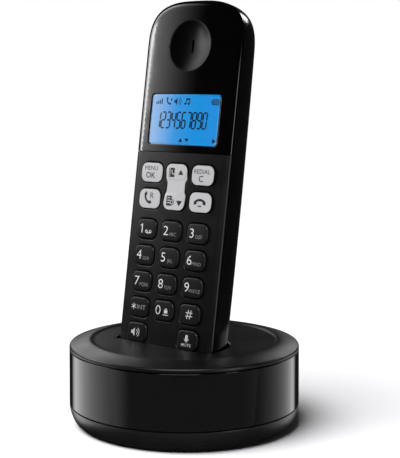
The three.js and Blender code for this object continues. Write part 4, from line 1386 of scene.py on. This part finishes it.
def metal(name, dark, light, roughness):
    """Plated metal with uneven polish and fine scratches."""
    recipe = Recipe(name)
    wear = recipe.noise(2.5, 4)
    recipe.put(
        Base_Color=recipe.mottled(wear, dark, light),
        Roughness=recipe.spread(wear, roughness - 0.08, roughness + 0.1),
        Metallic=1.0,
    )
    recipe.bump(recipe.noise(0.6, 2), 0.01)
    return recipe.material


def lit_display():
    """A backlit panel whose glow is lighter at the left: a painted reflection of the left light, added to the
    lens's own reflection.
    """
    recipe = Recipe("display_panel_lit")
    recipe.put(
        Base_Color=recipe.mottled(recipe.noise(6), (0.0, 0.01, 0.03), (0.0, 0.012, 0.036)),
        # lighter at the left: painted reflection of the left light on the lens
        Emission_Color=recipe.ramp(recipe.along((1, 0, 0), -19, 19), [
            (0.0, (0.3, 0.5, 0.8)), (0.35, (0.03, 0.31, 0.76)), (0.65, (0.0, 0.285, 0.75)),
            (1.0, (0.0, 0.262, 0.73)),
        ]),
        Emission_Strength=1.0,
        Roughness=0.35,
        Specular_IOR_Level=0.0,
    )
    return recipe.material


def clear_lens():
    recipe = Recipe("display_lens_clear")
    recipe.put(
        Base_Color=(0.97, 0.98, 1.0, 1),
        Roughness=recipe.spread(recipe.noise(12, 3), 0.0, 0.004),
        Transmission_Weight=1.0,
        IOR=1.46,
    )
    return recipe.material


def cell_jacket():
    """A dry cell's printed wrap: a coloured body with a pale band near each end."""
    recipe = Recipe("cell_jacket")
    green = (0.02, 0.2, 0.09)
    recipe.put(
        Base_Color=recipe.ramp(recipe.along((0, math.sin(LEAN), math.cos(LEAN)), 50, 105), [
            (0.0, (0.3, 0.3, 0.3)), (0.1, green), (0.7, green), (0.72, (0.5, 0.5, 0.5)),
        ]),
        Roughness=recipe.spread(recipe.noise(3, 3), 0.25, 0.4),
    )
    recipe.bump(recipe.noise(1.5), 0.02)
    return recipe.material


def circuit_board():
    """Green solder mask with copper lands showing through as lighter lines."""
    recipe = Recipe("circuit_board")
    fine = recipe.noise(1.6, 0)
    mask = (0.006, 0.07, 0.025)
    recipe.put(
        Base_Color=recipe.ramp(fine, [(0.44, mask), (0.5, (0.012, 0.12, 0.045)), (0.56, mask)]),
        Roughness=recipe.spread(recipe.noise(5), 0.3, 0.42),
    )
    recipe.bump(fine, 0.03)
    return recipe.material


def ink(name, dark, light, specular=0.5):
    recipe = Recipe(name)
    recipe.put(
        Base_Color=recipe.mottled(recipe.noise(0.8, 2), dark, light),
        Roughness=recipe.spread(recipe.noise(2), 0.4, 0.5),
        Specular_IOR_Level=specular,
    )
    return recipe.material


def make_materials():
    return {
        "satin_black": moulded("satin_black_plastic", 0.005, 0.007, 0.33, 0.22, 0.008),
        "rear_black": moulded("rear_black_plastic", 0.0015, 0.0022, 0.17, 0.5, 0.002),
        "cover_black": moulded("cover_black_plastic", 0.0025, 0.0033, 0.36, 0.25, 0.003),
        "gloss_black": gloss_black(),
        "dish_black": moulded("earpiece_dish_black", 0.0008, 0.0014, 0.29, 0.5, 0.002, 0.15),
        "key_black": moulded("key_black_plastic", 0.006, 0.008, 0.36, 0.2, 0.004),
        "key_silver": moulded("key_silver_paint", 0.56, 0.60, 0.35, 0.12, 0.002),
        "lens": clear_lens(),
        "display": lit_display(),
        "diffuser": moulded("backlight_diffuser", 0.75, 0.8, 0.5, 0.5, 0.01),
        "silicone": moulded("keypad_silicone", 0.08, 0.1, 0.6, 0.4, 0.01),
        "circuit_board": circuit_board(),
        "jack_plastic": moulded("jack_plastic", 0.012, 0.018, 0.5, 0.3, 0.008),
        "foot_rubber": moulded("foot_rubber", 0.02, 0.03, 0.75, 0.3, 0.03),
        "nickel": metal("nickel_plate", (0.55, 0.53, 0.5), (0.66, 0.64, 0.6), 0.28),
        "gold": metal("gold_plate", (0.6, 0.42, 0.16), (0.75, 0.55, 0.24), 0.25),
        "screw_steel": metal("zinc_plated_steel", (0.33, 0.33, 0.34), (0.45, 0.45, 0.45), 0.36),
        "cell_jacket": cell_jacket(),
        "white_ink": ink("legend_white", grey(0.78), grey(0.84)),
        "grey_ink": ink("legend_grey", grey(0.24), grey(0.28)),
        "dark_ink": ink("legend_dark", grey(0.012), grey(0.02)),
        "display_ink": ink("display_segments", (0.002, 0.01, 0.03), (0.003, 0.012, 0.036), 0.0),
    }


def dress_cad_nodes():
    """Gives every CAD node the material of its slot, and softens the edges of those that stay in view."""
    for part in frame["record"]["subparts"]:
        node = frame["nodes"][part["node"]]
        node.data.materials.clear()
        node.data.materials.append(MATERIALS[part["material_slot"]])
        if not node.hide_render and part["material_slot"] != "cell_jacket":
            soften(node, 0.1)


# ------------------------------------------------------------------ studio
def studio_floor():
    """A white table top that fades out into the white surroundings."""
    mesh = bpy.data.meshes.new("floor")
    mesh.from_pydata([(x, y, 0) for x, y in circle(1.1, 96)], [], [list(range(96))])
    floor = new_object("floor", mesh)
    recipe = Recipe("floor_white")
    distance = add_node(recipe.tree, "VectorMath", {0: recipe.place}, operation="LENGTH").outputs["Value"]
    recipe.put(
        Base_Color=recipe.mottled(recipe.noise(60), grey(0.86), grey(0.88)),
        Roughness=0.7,
        Alpha=map_range(recipe.tree, distance, 0.3, 0.95, 1, 0, "SMOOTHSTEP"),
    )
    mesh.materials.append(recipe.material)
    floor.visible_glossy = False


def surroundings():
    """White behind the object, and dim everywhere else so that the gloss stays black."""
    world = bpy.data.worlds.new("studio")
    bpy.context.scene.world = world
    world.use_nodes = True
    tree = world.node_tree
    tree.nodes.clear()
    rays = add_node(tree, "LightPath")
    white, dim = (
        add_node(tree, "Background", {"Color": (1, 1, 1, 1), "Strength": strength}).outputs["Background"]
        for strength in (1.0, 0.02)
    )
    mix = add_node(tree, "MixShader", {"Fac": rays.outputs["Is Camera Ray"], 1: dim, 2: white})
    add_node(tree, "OutputWorld", {"Surface": mix.outputs["Shader"]})


def from_camera(angle):
    """A level direction so many degrees round from the camera, anticlockwise from above."""
    turn = CAMERA_TURN - math.pi / 2 + math.radians(angle)
    return (math.cos(turn), math.sin(turn))


SHARP = 0.001  # the share of a light over which an edge that doesn't fade falls away
PLAIN_FADE = (0, SHARP, 1, SHARP)
SOFT_ENDS = (0.3, 0.3)


def softbox(name, angle, distance, heights, width, radiance, fade=PLAIN_FADE, aside=0.0, feather=None):
    """An upright rectangular light facing the object, at an angle round from the camera.

    It stands aside by a distance to its right as the object sees it. The fade is the share of its width, from
    that side, where it is dark, the share where it is bright, a power between them, and the share over which
    the bright end falls away again. The feather is the shares of its height that fade out at the bottom and
    at the top.
    """
    low, high = heights
    light = bpy.data.lights.new(name, "AREA")
    light.shape = "RECTANGLE"
    light.size, light.size_y = width, high - low
    light.energy = radiance * width * (high - low) * math.pi
    lamp = new_object(name, light)
    x, y = from_camera(angle)
    lamp.location = (x * distance + y * aside, y * distance - x * aside, (low + high) / 2)
    lamp.rotation_euler = Vector((-x, -y, 0)).to_track_quat("-Z", "Y").to_euler()
    lamp.visible_camera = False
    if feather or fade != PLAIN_FADE:
        shade_light(light, fade, feather or (SHARP, SHARP))
    return lamp


def shade_light(light, fade, feather):
    """Makes a light's brightness rise across its width and fall away towards its edges."""
    light.use_nodes = True
    tree = light.node_tree
    place = add_node(tree, "NewGeometry").outputs["Parametric"]
    split = add_node(tree, "SeparateXYZ", {"Vector": place}).outputs
    dark, bright, power, soft = fade
    rise = map_range(tree, split["X"], dark, bright)
    strength = add_node(tree, "Math", {0: rise, 1: power}, operation="POWER").outputs["Value"]
    far_end = 1 if bright > dark else 0
    for side, edge, share in (("X", far_end, soft), ("Y", 0, feather[0]), ("Y", 1, feather[1])):
        ramp = map_range(tree, split[side], edge, abs(edge - share), interpolation="SMOOTHSTEP")
        strength = add_node(tree, "Math", {0: strength, 1: ramp}, operation="MULTIPLY").outputs["Value"]
    tree.links.new(strength, tree.nodes["Emission"].inputs["Strength"])


def aimed(lamp, height, target):
    """Lifts or lowers a light and turns it towards a point over the middle of the base."""
    lamp.location.z = height
    lamp.rotation_euler = (Vector((0, 0, target)) - lamp.location).to_track_quat("-Z", "Y").to_euler()
    return lamp


def floor_sun(angle, elevation, softness, energy):
    """Even light for the table top, with soft shadows."""
    light = bpy.data.lights.new("floor_sun", "SUN")
    light.energy = energy
    light.angle = math.radians(softness)
    lamp = new_object("floor_sun", light)
    x, y = from_camera(angle)
    rise = math.tan(math.radians(elevation))
    lamp.rotation_euler = Vector((-x, -y, -rise)).to_track_quat("-Z", "Y").to_euler()
    return lamp


def light_only(lamps, pieces, state="INCLUDE"):
    """Makes lights shine only on some pieces, or on everything but them."""
    group = bpy.data.collections.new(lamps[0].name + "_receivers")
    for piece in pieces:
        group.objects.link(piece)
    for member in group.collection_objects:
        member.light_linking.link_state = state
    for lamp in lamps:
        lamp.light_linking.receiver_collection = group


def named(*starts):
    return [piece for piece in bpy.data.objects if piece.name.startswith(starts)]


def lights():
    floor, fascia = bpy.data.objects["floor"], bpy.data.objects["upper_fascia_shell"]
    base, back = named("base_"), named("rear_shell", "battery_door", "handset_screw")
    table = (-0.12, -0.006)

    left = softbox(
        "left_softbox", -116, 0.62, (0.15, 0.95), 0.65, 7.0, (0.9, 0.1, 2.2, SHARP), -0.325, (0.1, 0.5))
    strip = softbox("front_strip", 46, 1.0, (-0.12, 0.3), 0.2, 5.0)
    light_only([left, strip], [floor], "EXCLUDE")
    fill_light = softbox("front_fill", -5, 1.2, (0.95, 1.45), 1.0, 12.0)
    light_only([fill_light], [floor, fascia], "EXCLUDE")
    edge = softbox("left_edge_strip", -116, 0.612, (0.08, 0.34), 0.06, 13.0, aside=-0.232)
    light_only([edge], [fascia])

    light_only([
        softbox("back_right_card", 138, 0.5, (0.12, 0.4), 0.45, 2.6, feather=SOFT_ENDS),
        softbox("left_table_card", -112, 0.26, table, 0.6, 2.4, (1.0, 0.2, 1.4, 0.16), -0.15),
        softbox("right_table_card", 110, 0.26, table, 0.586, 3.2, (0.0, 1.0, 3.6, 0.12), 0.157),
        softbox("front_table_card", 0, 0.2, (-0.14, -0.006), 4.0, 0.14),
    ], base)
    light_only([
        aimed(softbox("rear_lamp", 137, 0.9, (0.48, 0.78), 0.3, 8.0), 0.64, 0.1),
        softbox("low_back_card", 142, 0.35, (-0.4, -0.05), 0.9, 1.2, feather=SOFT_ENDS),
    ], back)
    light_only([softbox("back_left_card", -143, 0.5, (0.1, 0.5), 0.5, 1.9, feather=SOFT_ENDS)], base + back)
    light_only([floor_sun(-62, 63, 48, 5.0)], [floor])


def camera():
    view = bpy.data.cameras.new("camera")
    view.lens = CAMERA_LENS
    view.shift_x, view.shift_y = CAMERA_SHIFT
    eye = new_object("camera", view)
    eye.location = CAMERA_PLACE
    eye.rotation_euler = (math.pi / 2 + CAMERA_PITCH, 0, CAMERA_TURN)
    bpy.context.scene.camera = eye


# ------------------------------------------------------------------ making
camera()
MATERIALS = make_materials()
for make in (
    keypad_face, upper_fascia, display_lens, display_panel, display_marks, rear_shell, battery_door,
    make_keys, make_rocker, make_legends, base_top_cover, base_side_band, base_bottom_shell, connector_panel,
    line_jack, power_jack, paging_button, screws, feet, dress_cad_nodes, studio_floor, surroundings, lights,
):
    make()
bpy.context.scene.view_settings.view_transform = "Standard"
